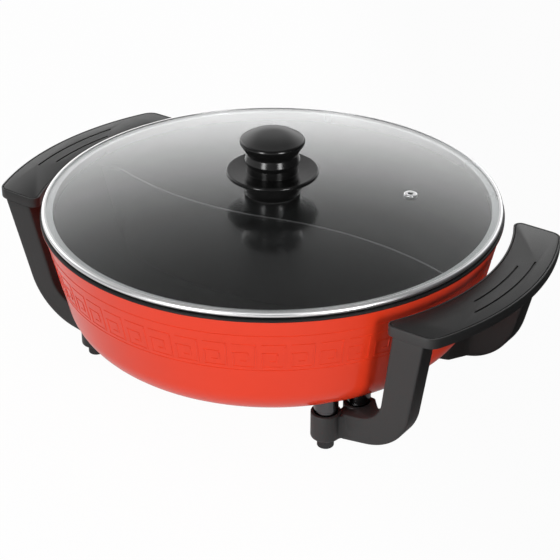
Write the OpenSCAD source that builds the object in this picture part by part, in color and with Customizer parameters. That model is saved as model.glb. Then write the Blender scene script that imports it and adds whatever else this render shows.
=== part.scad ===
// Electric hot pot: a cast two-compartment pan carried by two moulded handles with legs,
// a lift-off glass lid with a steel band, and a sheathed heater under the pan's floor.
// Millimetres, +Z up. The origin is on the table under the pan's axis, +X runs to the
// right-hand handle and +Y to the back, where the control plugs in.

/* [Pan] */
// Outside radius of the pan's rim
rim_r = 161; // [156:0.5:166]
// Height of the rim's top face above the table
rim_z = 118; // [116:0.5:124]
// Height of the rim's edge
rim_h = 2.5; // [2:0.1:3.5]
// How far the rim stands out past the wall
rim_out = 1.4; // [0.8:0.1:2.2]
// Slope of the wall from upright, in degrees
wall_slope = 12.4; // [11:0.1:14]
// Thickness of the wall
wall_t = 3.5; // [3:0.1:4.5]
// Height of the pan's underside above the table
pan_z = 31; // [30:0.5:34]
// Thickness of the floor
floor_t = 5; // [4.5:0.1:6]
// Outside radius of the bend from floor to wall
bend_r = 30; // [26:0.5:34]

/* [Divider] */
// Height of the dividing wall's top edge above the table
divider_z = 104; // [90:0.5:108]
// Thickness of the dividing wall
divider_t = 3; // [2.5:0.1:5]
// Half of the dividing wall's length, from one zero of its wave to the next
divider_half = 140; // [130:1:150]
// Height of each wave of the dividing wall
divider_wave = 11; // [6:0.5:16]

/* [Handles] */
// Gap between the rim and the handle
grip_gap = 6.3; // [4:0.1:9]
// Width of the handle
grip_w = 32.7; // [29:0.1:38]
// Half of the handle's length across the pot
grip_half = 85.7; // [82:0.1:90]
// Height of the handle's top face
grip_z = 111.8; // [108:0.1:114]
// Thickness of the handle
grip_t = 7; // [6:0.1:9]
// Radius of the handle's outer corners
grip_corner_out = 10; // [7:0.5:14]
// Radius of the handle's inner corners
grip_corner_in = 5; // [3:0.5:7]
// Width of the lip round the cover
grip_lip = 1.3; // [1:0.1:2]
// Thickness of the cover
cover_t = 3.6; // [3:0.1:4.5]
// Gap round the cover
cover_gap = 0.4; // [0.2:0.05:0.8]
// Width of the two finger grooves
groove_w = 1.4; // [1:0.1:2]
// Depth of the finger grooves
groove_t = 0.8; // [0.5:0.1:1.2]
// Distance of the inner finger groove from the handle's inner edge
groove_in_at = 12.7; // [10:0.1:15]
// Distance of the outer finger groove from the handle's inner edge
groove_out_at = 21.7; // [18:0.1:25]
// Half of the angle that the inner finger groove covers, in degrees
groove_in_half = 9.2; // [7:0.1:11]
// Half of the angle that the outer finger groove covers, in degrees
groove_out_half = 12.4; // [10:0.1:14]

/* [Legs] */
// Distance of the centre of the leg's bend from the handle's inner edge
leg_in = 47.3; // [44:0.1:51]
// Height of the centre of the leg's bend
leg_bend_z = 51; // [48:0.5:54]
// Inside radius of the leg's bend
leg_bend_r = 22.5; // [20:0.5:25]
// Depth of the leg round its bend
leg_depth = 21; // [18:0.5:24]
// Lean of the leg's outer edge from upright, in degrees
leg_lean_out = 11.2; // [9:0.1:13]
// Lean of the leg's inner edge from upright, in degrees
leg_lean_in = 10.1; // [8:0.1:12]
// Fall of the arm towards the foot, in degrees
arm_fall = 11; // [8:0.5:13]
// Lean of the leg's side face towards the middle, in degrees
leg_lean_side = 6.5; // [4:0.1:8]
// Width of the leg
leg_w = 15; // [12:0.5:18]
// Distance of the arm's inner face from the handle's end
arm_in = 36.7; // [34:0.1:40]
// Where the arm starts to widen, out from the centre of the leg's bend
flare_out = 14; // [10:0.5:16]
// Where the arm has its full width, in from the centre of the leg's bend
flare_in = 0.5; // [0:0.5:2]

/* [Feet] */
// How far the foot stands in from the centre of the leg's bend
foot_set = 19; // [16:0.5:22]
// Distance of the foot from the handle's end
foot_in = 5.7; // [4:0.1:8]
// How far the inner cup stands in from the centre of the leg's bend
cup_set = 8; // [6:0.5:11]
// Distance of the inner cup from the handle's end
cup_in = 27.7; // [26.5:0.1:29]
// Outside radius of the cups
cup_r = 10.2; // [9.8:0.1:11]
// Height of the cups' top edge
cup_z = 27.5; // [25:0.5:29]
// Height of the cups' underside
cup_low_z = 8; // [6:0.5:10]
// Thickness of the cup's floor
cup_floor = 6; // [5:0.5:7]
// Radius of the fillet between the outer cup and the arm
web_r = 10; // [7:0.5:12]
// How deep that fillet runs into the cup and the arm
web_sink = 0.3; // [0.2:0.1:0.6]
// How far that fillet stops below the cup's top edge
web_low = 1.5; // [0.5:0.1:3]
// Wall of the cup
cup_wall = 2; // [1.5:0.1:2.3]
// Radius of the foot tips
tip_r = 5.7; // [5.2:0.1:6.5]

/* [Fasteners] */
// Radius of the posts under the pan
post_r = 7.3; // [6.5:0.1:7.6]
// Height of the pads cast under the pan
pad_h = 1; // [0.5:0.1:2]
// Radius of the leg screws
leg_screw_r = 2; // [1.5:0.1:2.5]
// Radius of the leg screws' heads
leg_head_r = 3.6; // [3.2:0.1:4]
// Height of the leg screws' heads
leg_head_h = 2.2; // [1.8:0.1:2.6]
// Thickness of the washers under the leg screws
leg_washer_t = 0.8; // [0.6:0.1:1]
// Depth to which the leg screws enter the pan
leg_thread = 5; // [4:0.5:5.5]
// Radius of the small screws
small_screw_r = 1.6; // [1.2:0.1:1.8]
// Radius of the small screws' heads
small_head_r = 3; // [2.6:0.1:3.4]
// Height of the small screws' heads
small_head_h = 1.8; // [1.4:0.1:2]
// Depth to which the small screws hold
small_thread = 2.6; // [2:0.1:3]
// Half of the angle between the two screws of a grip cover, in degrees
cover_screw_half = 17; // [14:0.5:19]
// Play round a screw in its hole
screw_play = 0.3; // [0.2:0.05:0.5]

/* [Heater] */
// Radius of the heater's ring
heater_r = 80; // [74:0.5:86]
// Radius of the heater's tube
tube_r = 4; // [3.5:0.1:4.5]
// Radius of the bends from the heater's ring to its ends
heater_bend = 12; // [10:0.5:14]
// How much the tube is drawn thinner in those bends
bend_thin = 0.1; // [0.05:0.05:0.2]
// Half of the distance between the heater's ends
pin_x = 15; // [14:0.5:17]
// Width of the cast rib on each side of the tube
rib_side = 3; // [2:0.1:4]
// How far the ribs stop short of the faces that the clips sit on
rib_short = 0.4; // [0.2:0.1:1]
// Play between the tube and its groove
tube_play = 0.1; // [0.05:0.05:0.3]
// Play between the tube and the clips that hold it
clip_play = 0.4; // [0.3:0.05:0.6]
// Metal left between the heater's groove and the floor
rib_web = 4; // [3.5:0.1:5]
// Thickness of the clips that hold the tube
clip_t = 1.2; // [1:0.1:1.6]
// Width of the clips along the tube
clip_w = 12; // [10:0.5:14]
// Number of clips, odd so that none falls on the gap between the heater's ends
clip_count = 3; // [3:2:5]

/* [Inlet] */
// Radius of the power pins
pin_r = 2.4; // [2:0.1:2.8]
// Length of the power pins' contact faces
pin_len = 20; // [18:0.5:21]
// Gap between the contact faces and the inlet's back wall
pin_gap = 1; // [0.5:0.1:2]
// Radius of the power pins inside the beads
pin_core_r = 2; // [1.6:0.1:2.2]
// Length of the ceramic beads
bead_len = 5; // [4:0.5:6]
// How far the heater's ends stop inside the edge of the flat floor
tube_in = 0.9; // [0:0.1:4]
// Half of the inlet housing's width
inlet_half = 28; // [26:0.5:30]
// Height of the inlet housing
inlet_h = 15.2; // [15:0.1:17]
// Gap between the inlet housing and the pan's underside
inlet_gap = 0.6; // [0.4:0.1:1]
// Wall of the inlet housing
inlet_wall = 2.5; // [2:0.1:3]
// How far the inlet's mouth stays inside the rim
inlet_in = 9; // [6:0.5:10]
// Thickness of the inlet's back wall
inlet_back = 4; // [3:0.5:5]
// Distance of the inlet's screws from the pot's middle plane
ear_x = 35; // [34.5:0.5:37]
// Radius of the inlet's ears
ear_r = 6; // [5.5:0.1:6.5]
// Thickness of the inlet's ears
ear_t = 3; // [2.5:0.1:3.5]
// Bore radius of the probe socket
probe_r = 2.6; // [2.3:0.1:2.8]
// Wall of the probe socket
probe_wall = 1.2; // [1:0.1:1.4]
// Length of the probe socket
probe_len = 44; // [38:0.5:46]
// How far the probe socket stands into the inlet
probe_out = 6; // [4:0.5:8]

/* [Lid] */
// How far the steel band's edge stays inside the rim's
band_in = 1; // [0.5:0.1:2]
// Height of the steel band
band_h = 4.2; // [3.8:0.1:5]
// Thickness of the band's sheet
band_t = 0.5; // [0.4:0.05:0.6]
// Width of the band's top lip
band_lip = 3; // [2.5:0.1:4]
// Distance of the glass's edge from the band's outer edge
glass_inset = 1.6; // [1.4:0.1:2]
// Gap between the band's collar, which drops into the pan, and the wall
collar_gap = 2.8; // [1:0.1:4]
// Depth of the band's collar
collar_h = 6; // [4:0.5:9]
// Gap between the resting lid and the rim
lid_gap = 0.3; // [0.2:0.05:0.5]
// Rise of the glass from its edge to its middle
dome_h = 4.6; // [4:0.1:7]
// Width of the flat edge of the glass
glass_edge = 14; // [10:0.5:18]
// Distance of the steam vent from the pan's axis
vent_at = 96; // [90:0.5:102]
// Direction of the steam vent from the right-hand handle, in degrees
vent_turn = 35; // [30:1:40]
// Radius of the steam vent's flange
vent_flange_r = 4.7; // [4.2:0.1:5.2]
// Radius of the steam hole
vent_r = 2; // [1.5:0.1:2.4]
// Wall of the steam vent's tube
vent_wall = 0.9; // [0.7:0.1:1.1]

/* [Knob] */
// Radius of the knob's cap
cap_r = 22.9; // [20:0.1:24]
// Width of the bevel under the cap's widest ring
cap_bevel = 1; // [0.6:0.1:1.6]
// Height of the bevel under the cap's widest ring
cap_bevel_h = 2; // [1:0.1:3]
// Height of the cap above its widest ring
cap_h = 8.4; // [7:0.1:10]
// Height of the cap's widest ring above the glass
cap_at = 39; // [37:0.5:41]
// Radius of the bulge of the grip's neck
neck_r = 18.6; // [17.5:0.1:19]
// Height from the neck's top edge up to the cap's widest ring
neck_drop = 3.6; // [3:0.1:5]
// Height of the neck's straight top
neck_band = 7; // [5:0.1:9]
// Radius of the waist at the skirt's collar
waist_r = 17.1; // [16.5:0.1:17.5]
// Height of the grip's lower edge above the glass
grip_low = 21.8; // [21:0.1:23]
// Radius of the finger guard
guard_r = 32.3; // [29:0.1:34]
// Height of the finger guard's edge above the glass
guard_at = 16; // [15:0.1:17]
// Thickness of the finger guard at its edge
guard_t = 2; // [1.5:0.1:2.5]
// Width of the bevels at the finger guard's edge
guard_bevel = 1; // [0.5:0.1:1.5]
// Radius of the knob's foot
base_r = 20.6; // [19:0.1:22]
// How far the knob's foot draws in at its lower edge
base_taper = 1; // [0.5:0.1:1.5]
// Height over which the knob's foot draws in
base_band = 4; // [3:0.1:6]
// Wall of the knob's hollow foot
base_wall = 6; // [4:0.1:8]
// How far the soft seat stays inside the knob's foot
seat_in = 0.5; // [0.2:0.1:1]
// Thickness of the soft seat under the knob
seat_t = 0.8; // [0.5:0.1:1.2]
// Radius of the knob's screw
knob_screw_r = 2.5; // [2:0.1:2.8]
// Radius of the knob's screw head
knob_head_r = 4.6; // [4.2:0.1:5]
// Height of the knob's screw head
knob_head_h = 2.6; // [2:0.1:3]
// Radius of the washers under the glass
knob_washer_r = 9; // [8:0.1:10]
// Play between the glass and the gasket under it
gasket_play = 0.1; // [0.05:0.05:0.3]
// Thickness of the steel washer under the glass
knob_washer_t = 0.8; // [0.6:0.1:1]
// Radius of the brass insert in the knob
insert_r = 4.5; // [4:0.1:5]
// Length of the brass insert in the knob
insert_len = 12; // [10:0.5:13]

/* [Hidden] */
$fn = 96;
eps = 0.01;
over = 1;

wall_top_z = rim_z - rim_h;
function wall_r(z) = rim_r - rim_out - (wall_top_z - z) * tan(wall_slope);
function wall_in_r(z) = wall_r(z) - wall_t / cos(wall_slope);
floor_z = pan_z + floor_t;
// Distance of a bend's centre from the axis, for a bend of radius r that touches
// the line through radius w at height z and the level that lies r below the centre
function bend_at(w, z, r, centre_z) =
    w + (centre_z - z) * tan(wall_slope) - r / cos(wall_slope);
bend_in_r = bend_r - wall_t;
flat_r = bend_at(wall_r(wall_top_z), wall_top_z, bend_r, pan_z + bend_r);

grip_in_r = rim_r + grip_gap;
grip_out_r = grip_in_r + grip_w;
leg_bend_x = grip_in_r - leg_in;
arm_in_y = grip_half - arm_in;
foot_x = leg_bend_x - foot_set;
foot_y = grip_half - foot_in;
cup_x = leg_bend_x - cup_set;
cup_y = grip_half - cup_in;
function leg_outer_y(z) = grip_half - (grip_low_z - z) * tan(leg_lean_side);
pad_z = pan_z - pad_h;
cup_bore_r = cup_r - cup_wall;
post_low_z = cup_low_z + cup_floor + leg_washer_t + leg_head_h;
head_z = cup_low_z + leg_head_h + leg_washer_t;
grip_low_z = grip_z - grip_t;
cover_z = grip_z - cover_t;
cover_mid_r = (grip_in_r + grip_out_r) / 2;
leg_bend_out = leg_bend_r + leg_depth;

tube_z = pan_z - rib_web - tube_play - tube_r;
tube_end_y = flat_r - tube_in;
bead_end_y = tube_end_y + bead_len;
// Angle by which the bends reach into the ring and the ends, in degrees
bend_lap = 1;
bend_x = pin_x + heater_bend;
bend_turn = acos(bend_x / (heater_r + heater_bend));
bend_y = (heater_r + heater_bend) * sin(bend_turn);
clip_reach = tube_r + clip_play + clip_t + small_head_r + screw_play;
inlet_low_z = pan_z - inlet_gap - inlet_h;
inlet_y = rim_r - inlet_in;
inlet_back_y = bead_end_y;
plate_y = inlet_back_y + inlet_back;
pin_foot_y = plate_y + pin_gap;
ear_y = inlet_back_y;
ear_z = pad_z;
probe_z = tube_z;
probe_end_y = plate_y + probe_out;
probe_start_y = probe_end_y - probe_len;
probe_out_r = probe_r + probe_wall;

band_z = rim_z + lid_gap;
band_r = rim_r - band_in;
collar_r = wall_in_r(band_z - collar_h) - collar_gap - band_t;
glass_r = band_r - glass_inset;
glass_z = band_z + band_t;
glass_t = band_h - 2 * band_t;
dome_r = glass_r - glass_edge;
sphere_r = (dome_r * dome_r + dome_h * dome_h) / (2 * dome_h);
glass_top_z = glass_z + glass_t + dome_h;
glass_low_z = glass_top_z - glass_t;
function glass_at(r) = glass_top_z - sphere_r + sqrt(sphere_r * sphere_r - r * r);
vent_lean = asin(vent_at / sphere_r);
vent_tube_r = vent_r + vent_wall;
washer_z = glass_at(knob_washer_r) - glass_t - gasket_play - seat_t;
foot_z = glass_top_z + seat_t;
base_low_r = base_r - base_taper;
guard_z = glass_top_z + guard_at;
grip_foot_z = glass_top_z + grip_low;
cap_z = glass_top_z + cap_at;
neck_z = cap_z - neck_drop;

// Helpers

// Copies its children to both sides of the middle plane through the handles
module both_y() {
    children();
    mirror([0, 1, 0]) children();
}

// Copies its children to the right and left sides
module both_x() {
    children();
    mirror([1, 0, 0]) children();
}

// Places its children at the eight cups
module at_cups() {
    both_x() both_y() {
        translate([foot_x, foot_y, 0]) children();
        translate([cup_x, cup_y, 0]) children();
    }
}

// Cylinder that runs to the back from y0 to y1
module rod_y(r, y0, y1) {
    translate([0, y0, 0]) rotate([-90, 0, 0]) cylinder(r = r, h = y1 - y0);
}

// Turns a corner round: takes off what lies between the circle of radius r about c
// and the corner, seen from c between the touching points a and b
module corner_off(c, a, corner, b, r) {
    far = 1.3;
    difference() {
        polygon([c, c + (a - c) * far, corner + (corner - c) * (far - 1), c + (b - c) * far]);
        translate(c) circle(r = r);
    }
}

// Half section of a bowl with sloping wall: w is the wall's radius at height z,
// low the floor's level, r the bend and top the upper end
module bowl_2d(w, z, low, r, top) {
    function at(h) = w - (z - h) * tan(wall_slope);
    c = [bend_at(w, z, r, low + r), low + r];
    difference() {
        polygon([[0, low], [at(low), low], [at(top), top], [0, top]]);
        corner_off(c, [c.x, low], [at(low), low],
            c + r * [cos(wall_slope), -sin(wall_slope)], r);
    }
}

module pan_outside_2d() {
    bowl_2d(wall_r(wall_top_z), wall_top_z, pan_z, bend_r, wall_top_z);
    translate([0, wall_top_z]) square([rim_r, rim_h]);
}

// The pan's hollow, made larger all round by grow
module pan_hollow_2d(grow) {
    bowl_2d(wall_in_r(wall_top_z) + grow, wall_top_z, floor_z - grow, bend_in_r + grow,
        rim_z + over);
}

// Pan

// One half of the dividing wall's S, an arc to the right of the axis
module divider_half_2d() {
    mid = divider_half / 2;
    arc_r = (mid * mid + divider_wave * divider_wave) / (2 * divider_wave);
    intersection() {
        translate([mid, divider_wave - arc_r]) difference() {
            circle(r = arc_r + divider_t / 2, $fn = 720);
            circle(r = arc_r - divider_t / 2, $fn = 720);
        }
        translate([0, -rim_r]) square([rim_r, 2 * rim_r]);
    }
}

module divider() {
    intersection() {
        translate([0, 0, pan_z + over]) linear_extrude(divider_z - pan_z - over) {
            divider_half_2d();
            rotate(180) divider_half_2d();
        }
        rotate_extrude() pan_hollow_2d(over);
    }
}

// Plan of the heater's ring, bends and ends, as wide as half on each side of its middle line
module heater_plan_2d(half) {
    difference() {
        circle(r = heater_r + half);
        circle(r = heater_r - half);
    }
    both_x() {
        translate([pin_x - half, heater_r]) square([2 * half, tube_end_y - heater_r]);
        translate([pin_x, heater_r - tube_r]) square([heater_bend, bend_y + half - heater_r]);
    }
}

// Ribs cast under the floor, round the heater and the probe socket
module floor_ribs() {
    saddle = probe_out_r + rib_side / 2;
    depth = pan_z + over - tube_z - rib_short;
    translate([0, 0, tube_z + rib_short]) {
        linear_extrude(depth) heater_plan_2d(tube_r + rib_side);
        translate([-saddle, heater_r, 0]) cube([2 * saddle, tube_end_y - heater_r, depth]);
    }
}

// Turns its children round the axis to each clip, the first at the front
module at_clips() {
    for (i = [0 : clip_count - 1]) rotate(360 / clip_count * i - 90) children();
}

module at_clip_screws() {
    at_clips() for (side = [-1, 1]) translate([heater_r + side * clip_reach, 0, 0]) children();
}

module pan() {
    color([0.86, 0.24, 0.16]) {
        difference() {
            union() {
                rotate_extrude() pan_outside_2d();
                at_cups() translate([0, 0, pad_z]) cylinder(r = post_r + over, h = bend_r / 2);
                both_x() translate([ear_x, ear_y, pad_z]) cylinder(r = ear_r, h = bend_r / 2);
                floor_ribs();
                at_clip_screws() translate([0, 0, tube_z])
                    cylinder(r = small_head_r, h = pan_z + over - tube_z);
            }
            rotate_extrude() pan_hollow_2d(0);
            translate([0, 0, tube_z - over]) linear_extrude(tube_r + tube_play + over)
                heater_plan_2d(tube_r + tube_play);
            translate([0, 0, probe_z]) rod_y(probe_out_r + tube_play, probe_start_y, inlet_back_y);
            at_cups() translate([0, 0, pad_z - over])
                cylinder(r = leg_screw_r + eps, h = leg_thread + over + screw_play);
            both_x() translate([ear_x, ear_y, pad_z - over])
                cylinder(r = small_screw_r + eps, h = small_thread + over + screw_play);
            at_clip_screws() translate([0, 0, tube_z - over])
                cylinder(r = small_screw_r + eps, h = small_thread + over + screw_play);
        }
        divider();
    }
}

// Handles

// Outline of the right-hand handle, drawn in by the given inset
module handle_2d(inset) {
    ri = grip_in_r + inset;
    ro = grip_out_r - inset;
    h = grip_half - inset;
    a = grip_corner_out - inset;
    b = grip_corner_in - inset;
    co = [sqrt(pow(ro - a, 2) - pow(h - a, 2)), h - a];
    ci = [sqrt(pow(ri + b, 2) - pow(h - b, 2)), h - b];
    difference() {
        intersection() {
            difference() {
                circle(r = ro, $fn = 360);
                circle(r = ri, $fn = 360);
            }
            translate([0, -h]) square([ro + over, 2 * h]);
        }
        both_y() {
            corner_off(co, [co.x, h], [sqrt(ro * ro - h * h), h], co * ro / (ro - a), a);
            corner_off(ci, [ci.x, h], [sqrt(ri * ri - h * h), h], ci * ri / (ri + b), b);
        }
    }
}

// Side outline of a leg in the plane of the handle axis and the height
module leg_2d() {
    c = [leg_bend_x, leg_bend_z];
    top = grip_low_z + over;
    out = c + leg_bend_out * [cos(leg_lean_out), -sin(leg_lean_out)];
    inn = c + leg_bend_r * [cos(leg_lean_in), -sin(leg_lean_in)];
    down = [sin(arm_fall), -cos(arm_fall)];
    along = [-cos(arm_fall), -sin(arm_fall)];
    arm = (leg_bend_x - foot_x) / cos(arm_fall);
    middle = c + (leg_bend_r + leg_depth / 2) * [cos(45), -sin(45)];
    polygon([inn, middle, out, out + (top - out.y) * [tan(leg_lean_out), 1],
        inn + (top - inn.y) * [tan(leg_lean_in), 1]]);
    polygon([c + leg_bend_r * down, middle, c + leg_bend_out * down,
        c + leg_bend_out * down + arm * along, c + leg_bend_r * down + arm * along]);
    intersection() {
        translate(c) difference() {
            circle(r = leg_bend_out);
            circle(r = leg_bend_r);
        }
        polygon([c, c + 2 * leg_bend_out * down, c + 2 * leg_bend_out * [1, -1],
            c + 2 * leg_bend_out * [cos(leg_lean_out), -sin(leg_lean_out)]]);
    }
}

// Front outline of a leg in the plane across the handle axis and the height
module leg_front_2d() {
    top = grip_low_z + over;
    polygon([[grip_half, top], [grip_half, grip_low_z], [leg_outer_y(0), 0],
        [leg_outer_y(0) - leg_w, 0], [grip_half - leg_w, grip_low_z], [grip_half - leg_w, top]]);
}

// Plan of the arm's widening towards the inner cup
module arm_plan_2d() {
    strip_y = leg_outer_y(0) - leg_w / 2;
    polygon([[0, arm_in_y], [leg_bend_x - flare_in, arm_in_y], [leg_bend_x + flare_out, strip_y],
        [0, strip_y]]);
}

// Plan of the fillet between the outer cup and the arm's outer side
module cup_web_2d() {
    face_y = leg_outer_y(cup_low_z);
    rise = face_y + web_r - web_sink - foot_y;
    c = [foot_x + sqrt(pow(cup_r + web_r - web_sink, 2) - rise * rise), foot_y + rise];
    difference() {
        polygon([[foot_x, foot_y], c, [c.x, face_y - over], [foot_x, face_y - over]]);
        translate(c) circle(r = web_r);
    }
}

// The back leg of the right-hand handle, with its two cups
module leg() {
    difference() {
        union() {
            intersection() {
                rotate([90, 0, 0]) translate([0, 0, -grip_half - over])
                    linear_extrude(grip_half) leg_2d();
                union() {
                    rotate([90, 0, 90]) linear_extrude(grip_out_r) leg_front_2d();
                    linear_extrude(leg_bend_z) arm_plan_2d();
                }
            }
            translate([0, 0, cup_low_z]) linear_extrude(cup_z - web_low - cup_low_z) cup_web_2d();
            for (at = [[foot_x, foot_y], [cup_x, cup_y]]) translate([at.x, at.y, cup_low_z])
                cylinder(r = cup_r, h = cup_z - cup_low_z);
        }
        for (at = [[foot_x, foot_y], [cup_x, cup_y]]) translate([at.x, at.y, 0]) {
            translate([0, 0, post_low_z]) cylinder(r = cup_bore_r, h = cup_z);
            cylinder(r = leg_screw_r + screw_play, h = cup_z);
            translate([0, 0, -over]) cylinder(r = tip_r + screw_play, h = head_z + over);
        }
    }
}

module handle() {
    color([0.2, 0.2, 0.2]) {
        difference() {
            translate([0, 0, grip_low_z]) linear_extrude(grip_t) handle_2d(0);
            translate([0, 0, cover_z]) linear_extrude(grip_t) handle_2d(grip_lip);
            at_cover_screws() {
                translate([0, 0, grip_low_z - over]) cylinder(r = small_screw_r + screw_play, h = grip_t);
                translate([0, 0, grip_low_z - over])
                    cylinder(r = small_head_r + screw_play, h = small_head_h + over);
            }
        }
        both_y() leg();
    }
}

module at_cover_screws() {
    for (side = [-1, 1]) rotate(side * cover_screw_half) translate([cover_mid_r, 0, 0]) children();
}

module handle_right() {
    handle();
}

module handle_left() {
    mirror([1, 0, 0]) handle();
}

// A finger groove of radius r that covers the given angle on each side
module groove(r, half) {
    translate([0, 0, grip_z - groove_t]) rotate(-half) rotate_extrude(angle = 2 * half)
        translate([r - groove_w / 2, 0]) square([groove_w, groove_t + over]);
}

// The cover let into the right-hand handle
module grip_cover() {
    color([0.26, 0.26, 0.26]) difference() {
        translate([0, 0, cover_z]) linear_extrude(cover_t) handle_2d(grip_lip + cover_gap);
        groove(grip_in_r + groove_in_at, groove_in_half);
        groove(grip_in_r + groove_out_at, groove_out_half);
        at_cover_screws() translate([0, 0, cover_z - over])
            cylinder(r = small_screw_r + eps, h = small_thread + over);
    }
}

module grip_cover_right() {
    grip_cover();
}

module grip_cover_left() {
    mirror([1, 0, 0]) grip_cover();
}

// A screw whose head's upper face lies at z and whose shank rises by length
module screw_up(z, r, length, head_r, head_h) {
    translate([0, 0, z]) cylinder(r = r, h = length);
    translate([0, 0, z - head_h]) cylinder(r = head_r, h = head_h);
}

module cover_screws() {
    top = grip_low_z + small_head_h;
    color("silver") both_x() at_cover_screws()
        screw_up(top, small_screw_r, cover_z + small_thread - top - eps, small_head_r, small_head_h);
}

// Feet and posts

module foot_pads() {
    color([0.16, 0.16, 0.16]) both_x() both_y() translate([foot_x, foot_y, 0]) difference() {
        cylinder(r = tip_r, h = head_z - leg_washer_t);
        translate([0, 0, cup_low_z - screw_play]) cylinder(r = leg_head_r + screw_play, h = cup_z);
    }
}

module standoffs() {
    color("silver") at_cups() translate([0, 0, post_low_z]) difference() {
        cylinder(r = post_r, h = pad_z - post_low_z);
        translate([0, 0, -over])
            cylinder(r = leg_screw_r + screw_play, h = pad_z - post_low_z + 2 * over);
    }
}

module leg_screws() {
    color("silver") at_cups()
        screw_up(head_z - leg_washer_t, leg_screw_r, pad_z + leg_thread - head_z + leg_washer_t,
            leg_head_r, leg_head_h);
}

module leg_washers() {
    color("silver") at_cups() translate([0, 0, head_z - leg_washer_t]) difference() {
        cylinder(r = tip_r - screw_play, h = leg_washer_t);
        translate([0, 0, -over]) cylinder(r = leg_screw_r + screw_play, h = leg_washer_t + 2 * over);
    }
}

// Heater

module heater_tube() {
    color([0.35, 0.33, 0.31]) translate([0, 0, tube_z]) {
        rotate(180 - bend_turn) rotate_extrude(angle = 180 + 2 * bend_turn)
            translate([heater_r, 0]) circle(r = tube_r);
        both_x() {
            translate([bend_x, bend_y, 0]) rotate(180 - bend_lap)
                rotate_extrude(angle = bend_turn + 2 * bend_lap)
                    translate([heater_bend, 0]) circle(r = tube_r - bend_thin);
            translate([pin_x, 0, 0]) rod_y(tube_r, bend_y, tube_end_y);
        }
    }
}

// One clip over the tube, with a flat ear on each side
module clip() {
    inner = tube_r + clip_play;
    translate([heater_r, clip_w / 2, tube_z]) rotate([90, 0, 0]) linear_extrude(clip_w) {
        intersection() {
            difference() {
                circle(r = inner + clip_t);
                circle(r = inner);
            }
            translate([-2 * inner, -2 * inner]) square([4 * inner, 2 * inner]);
        }
        for (side = [-1, 1]) translate([side * (inner + clip_reach + small_head_r) / 2, -clip_t / 2])
            square([clip_reach + small_head_r - inner, clip_t], center = true);
    }
}

module heater_clips() {
    color("silver") difference() {
        at_clips() clip();
        at_clip_screws() translate([0, 0, tube_z - 2 * clip_t])
            cylinder(r = small_screw_r + screw_play, h = 4 * clip_t);
    }
}

module clip_screws() {
    color("silver") at_clip_screws()
        screw_up(tube_z - clip_t, small_screw_r, small_thread + clip_t, small_head_r, small_head_h);
}

module terminal_beads() {
    color("white") both_x() translate([pin_x, 0, tube_z]) difference() {
        rod_y(tube_r, tube_end_y, bead_end_y);
        rod_y(pin_core_r + eps, tube_end_y - over, bead_end_y + over);
    }
}

module power_pins() {
    color("silver") both_x() translate([pin_x, 0, tube_z]) {
        rod_y(pin_core_r, tube_end_y, pin_foot_y + eps);
        rod_y(pin_r, pin_foot_y, pin_foot_y + pin_len);
    }
}

// Inlet

// The shroud round the pins, open at both ends
module inlet_housing() {
    color([0.12, 0.12, 0.12]) difference() {
        translate([-inlet_half, plate_y, inlet_low_z]) cube([2 * inlet_half, inlet_y - plate_y, inlet_h]);
        translate([-inlet_half + inlet_wall, plate_y - over, inlet_low_z + inlet_wall])
            cube([2 * (inlet_half - inlet_wall), inlet_y, inlet_h - 2 * inlet_wall]);
    }
}

// The plate that closes the shroud's back and carries it on two ears
module inlet_plate() {
    color([0.14, 0.14, 0.14]) difference() {
        union() {
            translate([-inlet_half, inlet_back_y, inlet_low_z]) cube([2 * inlet_half, inlet_back, inlet_h]);
            both_x() translate([0, 0, ear_z - ear_t]) {
                translate([ear_x, ear_y, 0]) cylinder(r = ear_r, h = ear_t);
                translate([inlet_half - inlet_wall, inlet_back_y, 0])
                    cube([ear_x + ear_r - inlet_half + inlet_wall, inlet_back, ear_t]);
            }
        }
        both_x() translate([pin_x, 0, tube_z]) rod_y(pin_r + screw_play, inlet_back_y - over, inlet_y);
        translate([0, 0, probe_z]) rod_y(probe_out_r + tube_play, inlet_back_y - over, inlet_y);
        both_x() translate([ear_x, ear_y, ear_z - ear_t - over])
            cylinder(r = small_screw_r + screw_play, h = ear_t + 2 * over);
    }
}

module inlet_screws() {
    color("silver") both_x() translate([ear_x, ear_y, 0])
        screw_up(ear_z - ear_t, small_screw_r, ear_t + small_thread, small_head_r, small_head_h);
}

module probe_sleeve() {
    color("silver") translate([0, 0, probe_z]) difference() {
        rod_y(probe_out_r, probe_start_y, probe_end_y);
        rod_y(probe_r, probe_start_y - over, probe_end_y + over);
    }
}

// Lid

// Half section of the glass, from the axis out to its edge
module glass_2d() {
    edge_z = glass_z + glass_t;
    centre = glass_top_z - sphere_r;
    difference() {
        union() {
            translate([0, glass_z]) square([glass_r, glass_t]);
            intersection() {
                translate([0, centre]) circle(r = sphere_r, $fn = 4000);
                translate([0, edge_z - eps]) square([dome_r, dome_h + over]);
            }
        }
        intersection() {
            translate([0, centre - glass_t]) circle(r = sphere_r, $fn = 4000);
            translate([0, glass_z - over]) square([dome_r, dome_h + glass_t]);
        }
    }
}

// Places its children on the glass where the vent is, square to it
module at_vent() {
    rotate(vent_turn) translate([vent_at, 0, glass_at(vent_at)]) rotate([0, vent_lean, 0]) children();
}

module lid_glass() {
    color([0.7, 0.75, 0.78, 0.4]) difference() {
        rotate_extrude() glass_2d();
        translate([0, 0, glass_low_z - over])
            cylinder(r = knob_screw_r + screw_play, h = glass_t + 2 * over);
        at_vent() translate([0, 0, -glass_t - over])
            cylinder(r = vent_tube_r + screw_play, h = glass_t + 2 * over);
    }
}

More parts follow.
